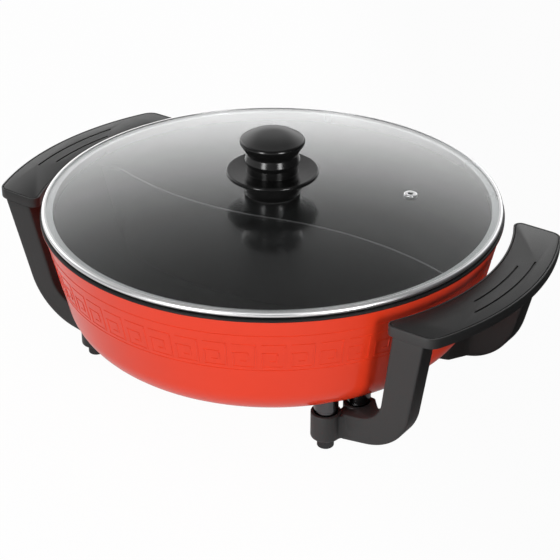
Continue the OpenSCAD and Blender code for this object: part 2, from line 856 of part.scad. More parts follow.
module lid_band() {
    round_r = band_h / 2;
    color("silver") rotate_extrude() {
        difference() {
            union() {
                translate([band_r - round_r, band_z + round_r]) circle(r = round_r);
                translate([collar_r, band_z]) square([band_r - round_r - collar_r, band_h]);
            }
            translate([collar_r - over, glass_z]) square([glass_r - collar_r + over, glass_t]);
            translate([collar_r - over, glass_z])
                square([band_r - band_lip - collar_r + over, band_h]);
        }
        translate([collar_r, band_z - collar_h]) square([band_t, collar_h + band_t]);
    }
}

module vent_eyelet() {
    flange_t = vent_wall;
    color("silver") at_vent() difference() {
        union() {
            translate([0, 0, eps]) cylinder(r = vent_flange_r, h = flange_t);
            translate([0, 0, -glass_t - flange_t])
                cylinder(r = vent_tube_r, h = glass_t + flange_t + 2 * eps);
            translate([0, 0, -glass_t - flange_t - 2 * eps]) cylinder(r = vent_flange_r, h = flange_t);
        }
        translate([0, 0, -2 * glass_t]) cylinder(r = vent_r, h = 4 * glass_t);
    }
}

// Knob

module knob_skirt() {
    color([0.1, 0.1, 0.1]) difference() {
        rotate_extrude() polygon([[0, foot_z], [base_low_r, foot_z], [base_r, foot_z + base_band],
            [base_r, guard_z - 2 * guard_t], [guard_r - guard_bevel, guard_z - guard_t],
            [guard_r, guard_z - guard_t / 2], [guard_r - guard_bevel, guard_z],
            [waist_r + guard_bevel, guard_z - guard_t / 2], [waist_r, guard_z],
            [waist_r, grip_foot_z], [0, grip_foot_z]]);
        translate([0, 0, foot_z - over]) {
            cylinder(r = knob_screw_r + screw_play, h = cap_at);
            cylinder(r = base_low_r - base_wall, h = guard_at / 2);
        }
    }
}

module knob_grip() {
    color([0.08, 0.08, 0.08]) difference() {
        rotate_extrude() {
            polygon([[0, grip_foot_z], [waist_r, grip_foot_z], [neck_r, neck_z - neck_band],
                [neck_r, neck_z], [cap_r - cap_bevel, cap_z - cap_bevel_h], [cap_r, cap_z], [0, cap_z]]);
            dome_2d(cap_r, cap_h, cap_z);
        }
        translate([0, 0, grip_foot_z - over]) cylinder(r = insert_r + tube_play, h = insert_len + over);
    }
}

// Quarter of a shallow dome of radius r and height h on the level z
module dome_2d(r, h, z) {
    arc = (r * r + h * h) / (2 * h);
    intersection() {
        translate([0, z + h - arc]) circle(r = arc, $fn = 360);
        translate([0, z - eps]) square([r, h + over]);
    }
}

module knob_insert() {
    color("gold") translate([0, 0, grip_foot_z]) difference() {
        cylinder(r = insert_r, h = insert_len - screw_play);
        translate([0, 0, -over]) cylinder(r = knob_screw_r + eps, h = insert_len + 2 * over);
    }
}

// A flat ring under or over the glass at the axis
module ring(z, h, r) {
    translate([0, 0, z]) difference() {
        cylinder(r = r, h = h);
        translate([0, 0, -over]) cylinder(r = knob_screw_r + screw_play, h = h + 2 * over);
    }
}

module knob_seat() {
    color([0.15, 0.15, 0.15]) ring(glass_top_z, seat_t, base_low_r - seat_in);
}

module knob_gasket() {
    color([0.15, 0.15, 0.15]) ring(washer_z, seat_t, knob_washer_r);
}

module knob_washer() {
    color("silver") ring(washer_z - knob_washer_t, knob_washer_t, knob_washer_r);
}

module knob_screw() {
    head_top = washer_z - knob_washer_t;
    color("silver") screw_up(head_top, knob_screw_r, grip_foot_z + insert_len / 2 - head_top,
        knob_head_r, knob_head_h);
}

pan();
handle_left();
handle_right();
grip_cover_left();
grip_cover_right();
cover_screws();
foot_pads();
standoffs();
leg_screws();
leg_washers();
heater_tube();
heater_clips();
clip_screws();
terminal_beads();
power_pins();
inlet_housing();
inlet_plate();
inlet_screws();
probe_sleeve();
lid_glass();
lid_band();
vent_eyelet();
knob_skirt();
knob_grip();
knob_insert();
knob_seat();
knob_gasket();
knob_washer();
knob_screw();
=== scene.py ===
# %% [markdown]
# # Dressing an electric hot pot
# The solids of the pot come from CAD and are the fixed frame. This lesson turns the visible
# pieces again with finer meshes and soft edges, gives every piece a finish made of shader nodes,
# and lights the pot like a studio picture. All sizes below are in millimetres until a mesh is
# made, because the drawings of the pot are in millimetres too.

# %% Load the frame
import math

import bmesh
import bpy
from mathutils import Matrix, Vector


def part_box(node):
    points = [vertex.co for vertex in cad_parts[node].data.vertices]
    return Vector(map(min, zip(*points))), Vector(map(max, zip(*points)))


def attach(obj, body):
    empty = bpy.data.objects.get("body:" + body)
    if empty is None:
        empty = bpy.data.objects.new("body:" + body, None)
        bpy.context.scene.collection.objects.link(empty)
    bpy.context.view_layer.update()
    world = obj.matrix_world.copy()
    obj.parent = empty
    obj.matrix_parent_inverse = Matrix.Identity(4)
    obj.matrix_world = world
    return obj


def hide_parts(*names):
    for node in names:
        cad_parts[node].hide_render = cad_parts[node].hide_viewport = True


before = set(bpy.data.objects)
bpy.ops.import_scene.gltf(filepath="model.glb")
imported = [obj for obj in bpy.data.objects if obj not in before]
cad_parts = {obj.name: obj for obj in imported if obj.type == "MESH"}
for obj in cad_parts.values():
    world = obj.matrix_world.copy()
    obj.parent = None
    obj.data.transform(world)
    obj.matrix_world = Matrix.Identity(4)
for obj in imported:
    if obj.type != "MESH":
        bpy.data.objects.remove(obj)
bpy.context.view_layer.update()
MM = 0.001
FULL_TURN = 2 * math.pi

# %% [markdown]
# ## Camera
# The camera stands where the photograph was taken from. It could be moved about by eye, but its
# place was worked out from the round rim and the two handles, which leaves less to guess. What
# came out is a direction, a distance and where the pot's origin falls in the picture.

# %% Place the camera
PICTURE = 560
AZIMUTH = math.radians(35.65)
ELEVATION = math.radians(29.32)
DISTANCE = 1.1596
FOCAL_PX = 1578.8
ORIGIN_PX = (272.9, 346.6)
SENSOR = 36

back = Vector((math.sin(AZIMUTH) * math.cos(ELEVATION), -math.cos(AZIMUTH) * math.cos(ELEVATION),
               math.sin(ELEVATION)))
right = Vector((math.cos(AZIMUTH), math.sin(AZIMUTH), 0))
up = back.cross(right)
aside = (ORIGIN_PX[0] - PICTURE / 2) / FOCAL_PX * DISTANCE
above = (ORIGIN_PX[1] - PICTURE / 2) / FOCAL_PX * DISTANCE

lens = bpy.data.cameras.new("camera")
lens.sensor_width = SENSOR
lens.lens = FOCAL_PX * SENSOR / PICTURE
camera = bpy.data.objects.new("camera", lens)
camera.location = back * DISTANCE - right * aside + up * above
camera.rotation_euler = back.to_track_quat("Z", "Y").to_euler()
bpy.context.scene.collection.objects.link(camera)
bpy.context.scene.camera = camera
print("camera at", [round(v, 3) for v in camera.location], "lens", round(lens.lens, 1))

# %% [markdown]
# ## Small tools
# Most of the pot is round. A round piece could be cut from a cylinder, but an outline in the plane
# of the axis, drawn once and spun, keeps the drawing's sizes. An outline lists only its corners,
# each with the radius that rounds it, and `rounded` puts the arcs in. A finished bmesh becomes an
# object that rides on a body and stands for the plain CAD nodes.

# %% Outlines
STRAIGHT = math.radians(89)


def rounded(corners, steps):
    """Outline of (r, z) points from corners of (r, z, radius), with an arc at each corner."""
    points = []
    count = len(corners)
    for i, (r, z, radius) in enumerate(corners):
        here = Vector((r, z))
        before = (Vector(corners[i - 1][:2]) - here).normalized()
        after = (Vector(corners[(i + 1) % count][:2]) - here).normalized()
        half = before.angle(after) / 2
        if radius == 0 or half > STRAIGHT:
            points.append(here)
            continue
        reach = radius / math.tan(half)
        start, end = here + before * reach, here + after * reach
        centre = here + (before + after).normalized() * (radius / math.sin(half))
        for k in range(steps + 1):
            chord = start.lerp(end, k / steps) - centre
            points.append(centre + chord.normalized() * radius)
    return [(p.x, p.y) for p in points]


# %% Spinning
LARGE_STEPS, MIDDLE_STEPS, SMALL_STEPS = 256, 128, 64
SPIN_MERGE = 0.002


def spun(bm, outline, steps):
    """Spins a closed outline round the pot's axis."""
    verts = [bm.verts.new((r * MM, 0, z * MM)) for r, z in outline]
    edges = [bm.edges.new(pair) for pair in zip(verts, verts[1:] + verts[:1])]
    bmesh.ops.spin(bm, geom=verts + edges, cent=(0, 0, 0), axis=(0, 0, 1), angle=FULL_TURN,
                   steps=steps, use_merge=True)
    bmesh.ops.remove_doubles(bm, verts=bm.verts, dist=SPIN_MERGE * MM)
    bmesh.ops.recalc_face_normals(bm, faces=bm.faces)


# %% From bmesh to piece
SMOOTH_BELOW = math.radians(32)


def add_object(name, bm, mats=()):
    """Puts a finished bmesh into the scene as an object with its finishes."""
    mesh = bpy.data.meshes.new(name)
    bm.to_mesh(mesh)
    bm.free()
    for mat in mats:
        mesh.materials.append(mat)
    obj = bpy.data.objects.new(name, mesh)
    bpy.context.scene.collection.objects.link(obj)
    return obj


def shade(mesh):
    """Shades a mesh smooth, apart from its sharp edges."""
    mesh.shade_smooth()
    mesh.set_sharp_from_angle(angle=SMOOTH_BELOW)


def piece(name, bm, body, slot, mats, *nodes):
    """Makes the bmesh a piece that rides on a body and stands for the given CAD nodes."""
    obj = add_object(name, bm, mats)
    shade(obj.data)
    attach(obj, body)
    if nodes:
        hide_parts(*nodes)
    print(name, "faces:", len(obj.data.polygons))
    return obj


# %% [markdown]
# ## Shared effects
# Two effects return in many finishes: a fine grain with a slow mottle, and the lighter rub along
# edges that hands leave on mouldings. They could be drawn again in each finish, but as node groups
# they are built once, and a finish only sets its own values.


# %% Node tools
def feed(tree, socket, value):
    """Links an output to a socket, or sets the socket's own value."""
    if isinstance(value, bpy.types.NodeSocket):
        tree.links.new(value, socket)
    else:
        socket.default_value = value


def node(tree, kind, inputs=None, **settings):
    """Adds a shader node with its settings, and feeds its inputs by name or number."""
    made = tree.nodes.new("ShaderNode" + kind)
    for setting, value in settings.items():
        setattr(made, setting, value)
    for socket, value in (inputs or {}).items():
        feed(tree, made.inputs[socket], value)
    return made


def spread(tree, value, start, end, low=0.0, high=1.0):
    """Maps a value between start and end to one between low and high."""
    limits = {"From Min": start, "From Max": end, "To Min": low, "To Max": high}
    return node(tree, "MapRange", {"Value": value, **limits}).outputs["Result"]


def product(tree, a, b):
    """The product of two values."""
    return node(tree, "Math", {0: a, 1: b}, operation="MULTIPLY").outputs["Value"]


def mixed(tree, factor, a, b):
    """Two colours mixed by a factor."""
    mix = node(tree, "Mix", {"Factor": factor, "A": a, "B": b}, data_type="RGBA")
    return mix.outputs["Result"]


# %% Node groups
GRAIN_DETAIL = 3
MOTTLE_DETAIL = 5
RUB_EDGE = (0.52, 0.62)
RUB_SCALE = 90


def group(name, inputs, outputs):
    """Starts a node group of plain values and gives its tree with its input and output nodes."""
    tree = bpy.data.node_groups.new(name, "ShaderNodeTree")
    for way, labels in (("INPUT", inputs), ("OUTPUT", outputs)):
        for label in labels:
            tree.interface.new_socket(label, in_out=way, socket_type="NodeSocketFloat")
    return tree, tree.nodes.new("NodeGroupInput"), tree.nodes.new("NodeGroupOutput")


def grain_group():
    """Fine grain for bumps and a slow mottle for colour and gloss, both from 0 to 1."""
    tree, given, result = group("grain", ["Grain Scale", "Mottle Scale"], ["Grain", "Mottle"])
    place = node(tree, "TexCoord").outputs["Object"]
    for label, detail in (("Grain", GRAIN_DETAIL), ("Mottle", MOTTLE_DETAIL)):
        scale = given.outputs[label + " Scale"]
        noise = node(tree, "TexNoise", {"Vector": place, "Scale": scale, "Detail": detail})
        feed(tree, result.inputs[label], noise.outputs["Fac"])
    return tree


def rub_group():
    """Mask of edges that are rubbed, broken up by noise."""
    tree, given, result = group("edge_rub", ["Amount"], ["Rub"])
    place = node(tree, "TexCoord").outputs["Object"]
    edge = spread(tree, node(tree, "NewGeometry").outputs["Pointiness"], *RUB_EDGE)
    noise = node(tree, "TexNoise", {"Vector": place, "Scale": RUB_SCALE})
    patchy = product(tree, edge, noise.outputs["Fac"])
    feed(tree, result.inputs["Rub"], product(tree, patchy, given.outputs["Amount"]))
    return tree


GRAIN = grain_group()
RUB = rub_group()
print("node groups:", [g.name for g in bpy.data.node_groups])

# %% [markdown]
# ## Finishes
# The real pot has enamel, a non-stick coat, steel, glass and black mouldings, and none of them is
# one flat colour. So a finish starts from one recipe: two close colours mixed by the mottle, a
# roughness that wanders between two values, a bump from the grain and, on mouldings, the rub along
# edges. What is the same all over, such as metal or coat, is set on the shader itself.

# %% The recipe
RUB_COLOR = (0.1, 0.1, 0.1, 1)
MOTTLE_SPAN = (0.3, 0.7)
BUMP_DEPTH = 0.2


def grey(value):
    """A colour without a hue."""
    return (value, value, value)


def finish(name, dark, light, rough, grain, mottle=14, rub=0.0, **fixed):
    """A material of two close colours, a wandering roughness, a fine bump and rubbed edges."""
    mat = bpy.data.materials.new(name)
    mat.use_nodes = True
    tree = mat.node_tree
    shader = tree.nodes["Principled BSDF"]
    for socket, value in fixed.items():
        shader.inputs[socket.replace("_", " ")].default_value = value
    grain_scale, grain_bump = grain
    texture = node(tree, "Group", {"Grain Scale": grain_scale, "Mottle Scale": mottle},
                   node_tree=GRAIN)
    color = mixed(tree, texture.outputs["Mottle"], (*dark, 1), (*light, 1))
    if rub:
        worn = node(tree, "Group", {"Amount": rub}, node_tree=RUB)
        color = mixed(tree, worn.outputs["Rub"], color, RUB_COLOR)
    gloss = spread(tree, texture.outputs["Mottle"], *MOTTLE_SPAN, *rough)
    bump = node(tree, "Bump", {"Height": texture.outputs["Grain"], "Strength": grain_bump,
                               "Distance": BUMP_DEPTH * MM})
    feed(tree, shader.inputs["Base Color"], color)
    feed(tree, shader.inputs["Roughness"], gloss)
    feed(tree, shader.inputs["Normal"], bump.outputs["Normal"])
    return mat


# %% Coats, mouldings and glass
RED = finish("red_enamel", (0.80, 0.046, 0.014), (0.86, 0.054, 0.018), (0.3, 0.4), (420, 0.1),
             Specular_IOR_Level=0.1, Coat_Weight=0.5, Coat_Roughness=0.15)
BLACK = finish("non_stick_black", grey(0.006), (0.014, 0.014, 0.015), (0.4, 0.55), (2600, 0.06),
               Specular_IOR_Level=0.25)
# Light grey for the divider's top faces: a painted highlight along its top edge.
PAINTED_HIGHLIGHT = finish("painted_highlight_grey", grey(0.12), grey(0.24), (0.3, 0.42), (2600, 0.2), mottle=60)
KNOB = finish("gloss_black", grey(0.004), grey(0.008), (0.16, 0.22), (700, 0.02))
KNOB_TOP = finish("satin_top", grey(0.008), grey(0.013), (0.36, 0.42), (900, 0.03))
HANDLE = finish("satin_black", grey(0.034), grey(0.042), (0.42, 0.52), (2400, 0.3), rub=0.2)
COVER = finish("cover_black", grey(0.013), grey(0.019), (0.38, 0.48), (2600, 0.35), rub=0.2)
RUBBER = finish("foot_rubber", grey(0.012), grey(0.022), (0.65, 0.8), (1800, 0.4))
CERAMIC = finish("ceramic", (0.72, 0.69, 0.62), (0.82, 0.8, 0.75), (0.55, 0.7), (1400, 0.3))
GLASS = finish("clear_glass", (0.93, 0.96, 0.96), (0.96, 0.98, 0.98), (0.0, 0.012), (60, 0.004),
               Transmission_Weight=1.0, IOR=1.5, Specular_IOR_Level=0.0, Coat_Weight=1.0,
               Coat_Roughness=0.2, Coat_IOR=1.6)
print("finishes:", len(bpy.data.materials))

# %% Metals
STEEL = finish("polished_steel", (0.86, 0.86, 0.87), grey(0.93), (0.26, 0.34), (1500, 0.03),
               Metallic=1.0)
TURNED = finish("turned_metal", (0.55, 0.55, 0.56), grey(0.68), (0.22, 0.34), (1200, 0.1),
                Metallic=1.0)
POST = finish("polished_post", (0.09, 0.09, 0.095), (0.16, 0.16, 0.165), (0.12, 0.2), (1200, 0.05),
              mottle=60, Metallic=1.0)
SCREW = finish("plated_screw", (0.5, 0.49, 0.46), (0.62, 0.61, 0.58), (0.28, 0.42), (900, 0.15),
               Metallic=1.0)
SHEATH = finish("tinted_sheath", (0.12, 0.10, 0.09), (0.24, 0.20, 0.17), (0.35, 0.5), (700, 0.2),
                mottle=40, Metallic=1.0)
BRASS = finish("brass", (0.6, 0.44, 0.16), (0.72, 0.55, 0.24), (0.25, 0.4), (900, 0.1),
               Metallic=1.0)
print("finishes with the metals:", len(bpy.data.materials))

# %% [markdown]
# ## The pan
# The pan is one casting: a flat floor, a bend and a wall that leans outwards, red outside and
# black inside. It could be two shells, but one closed loop of few corners gives the wall its true
# thickness. After the spin, faces on the outside below the rim, which face out or down, take the
# red finish and the rest takes the black one.

# %% Pan sizes
pan_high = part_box("pan")[1] / MM
RIM_R = pan_high.x
RIM_Z = pan_high.z
RIM_H = 2.5
RIM_OUT = 1.4
WALL_SLOPE = math.radians(12.4)
WALL_T = 3.5
PAN_Z = 31
FLOOR_T = 5
BEND_R = 30
WALL_TOP = RIM_Z - RIM_H


def wall_r(z):
    """Outside radius of the pan's wall at a height."""
    return RIM_R - RIM_OUT - (WALL_TOP - z) * math.tan(WALL_SLOPE)


def hollow_r(z):
    """Inside radius of the pan's wall at a height."""
    return wall_r(z) - WALL_T / math.cos(WALL_SLOPE)


print("rim radius", round(RIM_R, 1), "rim height", round(RIM_Z, 1))

# %% Spin the pan
FLOOR_Z = PAN_Z + FLOOR_T
BLACK_Z = WALL_TOP + 0.9
PAN_ARC_STEPS = 14
FACES_DOWN = -0.5
bm = bmesh.new()
spun(bm, rounded([
    (0, PAN_Z, 0), (wall_r(PAN_Z), PAN_Z, BEND_R), (wall_r(WALL_TOP), WALL_TOP, 0.3),
    (RIM_R, WALL_TOP, 0.5), (RIM_R, BLACK_Z, 0), (RIM_R, RIM_Z, 0.8),
    (hollow_r(RIM_Z), RIM_Z, 0.8), (hollow_r(FLOOR_Z), FLOOR_Z, BEND_R - WALL_T),
    (0, FLOOR_Z, 0)], PAN_ARC_STEPS), LARGE_STEPS)
for face in bm.faces:
    spot = face.calc_center_median() / MM
    outside = face.normal.z < FACES_DOWN or face.normal.xy.dot(spot.xy) > 0
    face.material_index = 0 if outside and spot.z < BLACK_Z else 1
piece("pan_casting", bm, "base", "enamel", [RED, BLACK], "pan")

# %% [markdown]
# ## The wall that splits the pan
# A thin wall runs across the pan in an S of two arcs, and its top faces are painted light grey as a
# painted highlight. It could be swept along a curve, but its ends have to meet the pan's leaning
# wall. So a long strip is made first, its top edges are rounded, and then each vertex is moved onto
# the S and out to the pan's wall.

# %% Divider sizes
DIVIDER_Z = 104
DIVIDER_T = 3
DIVIDER_HALF = 140
DIVIDER_WAVE = 11
DIVIDER_ROUND = 1.2
EMBED = 1.0
arc_mid = DIVIDER_HALF / 2
arc_r = (arc_mid ** 2 + DIVIDER_WAVE ** 2) / (2 * DIVIDER_WAVE)


def s_curve(x):
    """Distance of the S from the middle plane at x."""
    rise = math.sqrt(arc_r ** 2 - (abs(x) - arc_mid) ** 2) - arc_r + DIVIDER_WAVE
    return math.copysign(rise, x) if x else 0.0


def reach_at(z):
    """How far the divider runs at a height before it enters the pan's wall."""
    bend = BEND_R - WALL_T
    low = FLOOR_Z + bend * (1 - math.sin(WALL_SLOPE))
    if z >= low:
        return hollow_r(z) + EMBED
    centre = hollow_r(low) - bend * math.cos(WALL_SLOPE)
    drop = FLOOR_Z + bend - max(z, FLOOR_Z)
    return centre + math.sqrt(max(bend ** 2 - drop ** 2, 0)) + EMBED


print("radius of the S:", round(arc_r, 1))

# %% Divider
X, Z = 0, 2
LONG_EDGE, TALL_EDGE = 1, 20
LONG_CUTS, TALL_CUTS = 96, 14
SLOPE_STEP = 0.5
FACES_UP = 0.9


def extent(edge, axis):
    """How far an edge runs along an axis."""
    return abs(edge.verts[0].co[axis] - edge.verts[1].co[axis])


bm = bmesh.new()
bmesh.ops.create_cube(bm, size=1, matrix=Matrix.LocRotScale(
    (0, 0, (DIVIDER_Z + FLOOR_Z - EMBED) / 2), None, (2, DIVIDER_T, DIVIDER_Z - FLOOR_Z + EMBED)))
top_edges = [e for e in bm.edges if extent(e, X) > LONG_EDGE
             and min(v.co.z for v in e.verts) > DIVIDER_Z - DIVIDER_ROUND]
bmesh.ops.bevel(bm, geom=top_edges, offset=DIVIDER_ROUND, segments=4, profile=0.5,
                affect="EDGES", material=-1)
long_edges = [e for e in bm.edges if extent(e, X) > LONG_EDGE]
bmesh.ops.subdivide_edges(bm, edges=long_edges, cuts=LONG_CUTS, use_grid_fill=True)
tall_edges = [e for e in bm.edges if extent(e, Z) > TALL_EDGE]
bmesh.ops.subdivide_edges(bm, edges=tall_edges, cuts=TALL_CUTS, use_grid_fill=True)
for v in bm.verts:
    x = v.co.x * reach_at(v.co.z)
    slope = math.atan2(s_curve(x + SLOPE_STEP) - s_curve(x - SLOPE_STEP), 2 * SLOPE_STEP)
    v.co = Vector((x - v.co.y * math.sin(slope), s_curve(x) + v.co.y * math.cos(slope),
                   v.co.z)) * MM
bmesh.ops.recalc_face_normals(bm, faces=bm.faces)
# Faces that look up take the light grey: a painted highlight along the divider's top edge.
for face in bm.faces:
    face.material_index = 1 if face.normal.z > FACES_UP else 0
piece("pan_divider", bm, "base", "enamel", [BLACK, PAINTED_HIGHLIGHT])

# %% [markdown]
# ## The key-fret band
# A band of square spirals is cast round the wall between two thin lines. A bump in the finish would
# be lost at the pan's outline, so it is a true relief. Each bar of a spiral is a flat strip that is
# extruded with a slight draft. The strips are laid out flat, with x along the wall and y as
# height, and the finished sheet is then wrapped on the leaning wall.

# %% Fret bars
BAR_W = 1.5
BAR_H = 0.28
BAR_SINK = 0.4
BAR_DRAFT = 0.45
AT_END = 1e-9


def verts_of(made):
    """The vertices in what an operator made."""
    return [g for g in made if isinstance(g, bmesh.types.BMVert)]


def bar(bm, a0, a1, z0, z1, cells):
    """A raised bar between two angles and two heights, drawn flat."""
    middle = (z0 + z1) / 2
    made = bmesh.ops.create_grid(
        bm, x_segments=cells, y_segments=1, size=0.5, matrix=Matrix.LocRotScale(
            ((a0 + a1) / 2, middle, -BAR_SINK), None, (a1 - a0, z1 - z0, 1)))
    base = list(dict.fromkeys(f for v in made["verts"] for f in v.link_faces))
    top = bmesh.ops.extrude_face_region(bm, geom=base, use_keep_orig=True)
    draft = BAR_DRAFT / wall_r(middle)
    for v in verts_of(top["geom"]):
        v.co.z = BAR_H
        v.co.x += draft if v.co.x < a0 + AT_END else -draft if v.co.x > a1 - AT_END else 0
        v.co.y += BAR_DRAFT if v.co.y < middle else -BAR_DRAFT


# %% Fret band
FRET_COUNT = 52
FRET_GAP = 0.16
FRET_TURN = math.radians(-36.6)
FRET_TOP = 97.4
FRET_LOW = 77.5
FRET_LINES = (104.0, 75.2)
FRET_UPPER, FRET_LOWER = 90.5, 83.6
FRET_HOOK, FRET_TIP = 0.7, 0.33
SHEET_MERGE = 0.001
pitch = FULL_TURN / FRET_COUNT
width = pitch * (1 - FRET_GAP)
bar_turn = BAR_W / wall_r(FRET_TOP)
bm = bmesh.new()
for i in range(FRET_COUNT):
    a = FRET_TURN + i * pitch + pitch * FRET_GAP / 2
    b = a + width
    hook, tip = a + width * FRET_HOOK, a + width * FRET_TIP
    bar(bm, a, b, FRET_TOP - BAR_W, FRET_TOP, 4)
    bar(bm, b - bar_turn, b, FRET_LOW, FRET_TOP - BAR_W, 1)
    bar(bm, a, b - bar_turn, FRET_LOW, FRET_LOW + BAR_W, 4)
    bar(bm, a, a + bar_turn, FRET_LOW + BAR_W, FRET_UPPER, 1)
    bar(bm, a + bar_turn, hook, FRET_UPPER - BAR_W, FRET_UPPER, 3)
    bar(bm, hook - bar_turn, hook, FRET_LOWER - BAR_W, FRET_UPPER - BAR_W, 1)
    bar(bm, tip, hook - bar_turn, FRET_LOWER - BAR_W, FRET_LOWER, 2)
for line in FRET_LINES:
    bar(bm, FRET_TURN, FRET_TURN + FULL_TURN, line - BAR_W / 2, line + BAR_W / 2, LARGE_STEPS)
for v in bm.verts:
    turn, z, lift = v.co
    r = wall_r(z) + lift * math.cos(WALL_SLOPE)
    v.co = Vector((r * math.cos(turn), r * math.sin(turn), z - lift * math.sin(WALL_SLOPE))) * MM
bmesh.ops.remove_doubles(bm, verts=bm.verts, dist=SHEET_MERGE * MM)
bmesh.ops.recalc_face_normals(bm, faces=bm.faces)
piece("fret_band", bm, "base", "enamel", [RED])

# %% [markdown]
# ## Under the pan
# A rib follows the heater's ring and its two ends, with a groove for the tube. Pads for the posts
# and bosses for the small screws are cast on too. No single outline gives such a form, so the rib
# is joined from a ring and blocks, and then the groove is cut through all of them, as a casting's
# core would leave it.


# %% Joining and cutting
def loose(bm, mats=()):
    """A scratch object of a bmesh, for joining and cutting."""
    return add_object("scratch", bm, mats)


def combine(obj, others, how):
    """Joins the others to the object's mesh, or takes them out of it, and deletes them."""
    for other in others:
        change = obj.modifiers.new("change", "BOOLEAN")
        change.object = other
        change.operation = how
        change.solver = "EXACT"
    bpy.context.view_layer.update()
    shaped = obj.evaluated_get(bpy.context.evaluated_depsgraph_get())
    mesh = bpy.data.meshes.new_from_object(shaped)
    obj.modifiers.clear()
    obj.data = mesh
    shade(mesh)
    for other in others:
        bpy.data.objects.remove(other)


def taken(obj):
    """A bmesh of a scratch object, which is deleted."""
    bm = bmesh.new()
    bm.from_mesh(obj.data)
    bpy.data.objects.remove(obj)
    return bm


# %% Blocks and cylinders
ROUND_STEPS = 48


def block(low, high):
    """A scratch box between two corners."""
    low, high = Vector(low) * MM, Vector(high) * MM
    bm = bmesh.new()
    bmesh.ops.create_cube(bm, size=1, matrix=Matrix.LocRotScale((low + high) / 2, None, high - low))
    return loose(bm)


def at(x, y, z):
    """The matrix that moves a shape from the origin to a point."""
    return Matrix.Translation(Vector((x, y, z)) * MM)


def cylinder(bm, radius, length, place, steps=ROUND_STEPS):
    """Adds a closed cylinder along its own z, moved by a matrix."""
    return bmesh.ops.create_cone(bm, cap_ends=True, segments=steps, radius1=radius * MM,
                                 radius2=radius * MM, depth=length * MM, matrix=place)


# %% Heater rib sizes
HEATER_R = 80
HEATER_END = 116
HEATER_BEND = 12
TUBE_Z = 22.9
PIN_X = 15
RIB_HALF = 7
RIB_SHORT = 0.4
GROOVE_HALF = 4.1
GROOVE_DEEP = 6
BLOCK_TOP = 88
SADDLE = 5.3
PROBE_R = 3.9
PROBE_START = 87
rib_low = TUBE_Z + RIB_SHORT
rib_top = PAN_Z + 1
groove_low = TUBE_Z - GROOVE_DEEP
groove_top = TUBE_Z + GROOVE_HALF
print("rib from", round(rib_low, 1), "to", round(rib_top, 1))


# %% Heater rib
def ring(half, low, high):
    """A square ring along the heater's circle."""
    inner, outer = HEATER_R - half, HEATER_R + half
    bm = bmesh.new()
    spun(bm, [(inner, low), (outer, low), (outer, high), (inner, high)], MIDDLE_STEPS)
    return loose(bm)


def ends(half, low, high):
    """Blocks along the heater's two ends and in the corners where they leave the ring."""
    made = []
    for side in (-1, 1):
        for x0, x1, y0, y1 in (
                (PIN_X - half, PIN_X + half, HEATER_R, HEATER_END),
                (PIN_X, PIN_X + HEATER_BEND, HEATER_R - GROOVE_HALF, BLOCK_TOP + half)):
            xs = sorted((side * x0, side * x1))
            made.append(block((xs[0], y0, low), (xs[1], y1, high)))
    return made


rib = ring(RIB_HALF, rib_low, rib_top)
saddle = block((-SADDLE, HEATER_R, rib_low), (SADDLE, HEATER_END, rib_top))
combine(rib, ends(RIB_HALF, rib_low, rib_top) + [saddle], "UNION")
bm = bmesh.new()
cylinder(bm, PROBE_R, 2 * (HEATER_END - PROBE_START),
         at(0, HEATER_END, TUBE_Z) @ Matrix.Rotation(math.pi / 2, 4, "X"))
combine(rib, [ring(GROOVE_HALF, groove_low, groove_top), loose(bm)]
        + ends(GROOVE_HALF, groove_low, groove_top), "DIFFERENCE")
print("heater rib faces:", len(rib.data.polygons))

# %% Pad sizes
CUPS = ((101, 80), (112, 58))
POSTS = [(sx * x, sy * y) for x, y in CUPS for sx in (-1, 1) for sy in (-1, 1)]
PAD_R = 8.3
PAD_Z = PAN_Z - 1
PAD_TOP = 44
CLIP_TURNS = [math.radians(a) for a in (-90, 30, 150)]
CLIP_REACH = 8.9
BOSS_R = 3
BOSS_EDGE = 0.3
EAR_X, EAR_Y, EAR_R = 35, 121, 6
HOLLOW_DEEP = 1.2
HOLLOW_TOP = PAD_TOP + 20
PILLAR_STEPS = 40
LEVEL = 1e-6


def pillar(bm, x, y, low, high, radius, edge=0.4, steps=PILLAR_STEPS):
    """An upright cylinder with softened ends."""
    made = cylinder(bm, radius, high - low, at(x, y, (low + high) / 2), steps)
    verts = set(made["verts"])
    rims = [e for e in bm.edges if set(e.verts) <= verts and extent(e, Z) < LEVEL]
    bmesh.ops.bevel(bm, geom=rims, offset=edge * MM, segments=3, profile=0.5, affect="EDGES",
                    material=-1)


print("posts:", len(POSTS))

# %% Pads and bosses
bm = bmesh.new()
for turn in CLIP_TURNS:
    for r in (HEATER_R - CLIP_REACH, HEATER_R + CLIP_REACH):
        pillar(bm, r * math.cos(turn), r * math.sin(turn), TUBE_Z, rib_top, BOSS_R, BOSS_EDGE)
for side in (-1, 1):
    pillar(bm, side * EAR_X, EAR_Y, PAD_Z, PAD_TOP, EAR_R)
cast = len(bm.faces)
for x, y in POSTS:
    pillar(bm, x, y, PAD_Z, PAD_TOP, PAD_R)
bm.faces.ensure_lookup_table()
for face in bm.faces[cast:]:
    face.material_index = 1
pads = loose(bm, [RED, POST])
bm = bmesh.new()
spun(bm, rounded([
    (0, FLOOR_Z - HOLLOW_DEEP, 0),
    (hollow_r(FLOOR_Z) + HOLLOW_DEEP, FLOOR_Z - HOLLOW_DEEP, BEND_R - WALL_T),
    (hollow_r(HOLLOW_TOP) + HOLLOW_DEEP, HOLLOW_TOP, 0), (0, HOLLOW_TOP, 0)],
    PAN_ARC_STEPS), MIDDLE_STEPS)
combine(pads, [loose(bm)], "DIFFERENCE")
bm = taken(pads)
bm.from_mesh(rib.data)
bpy.data.objects.remove(rib)
piece("pan_underside", bm, "base", "enamel", [RED, POST])

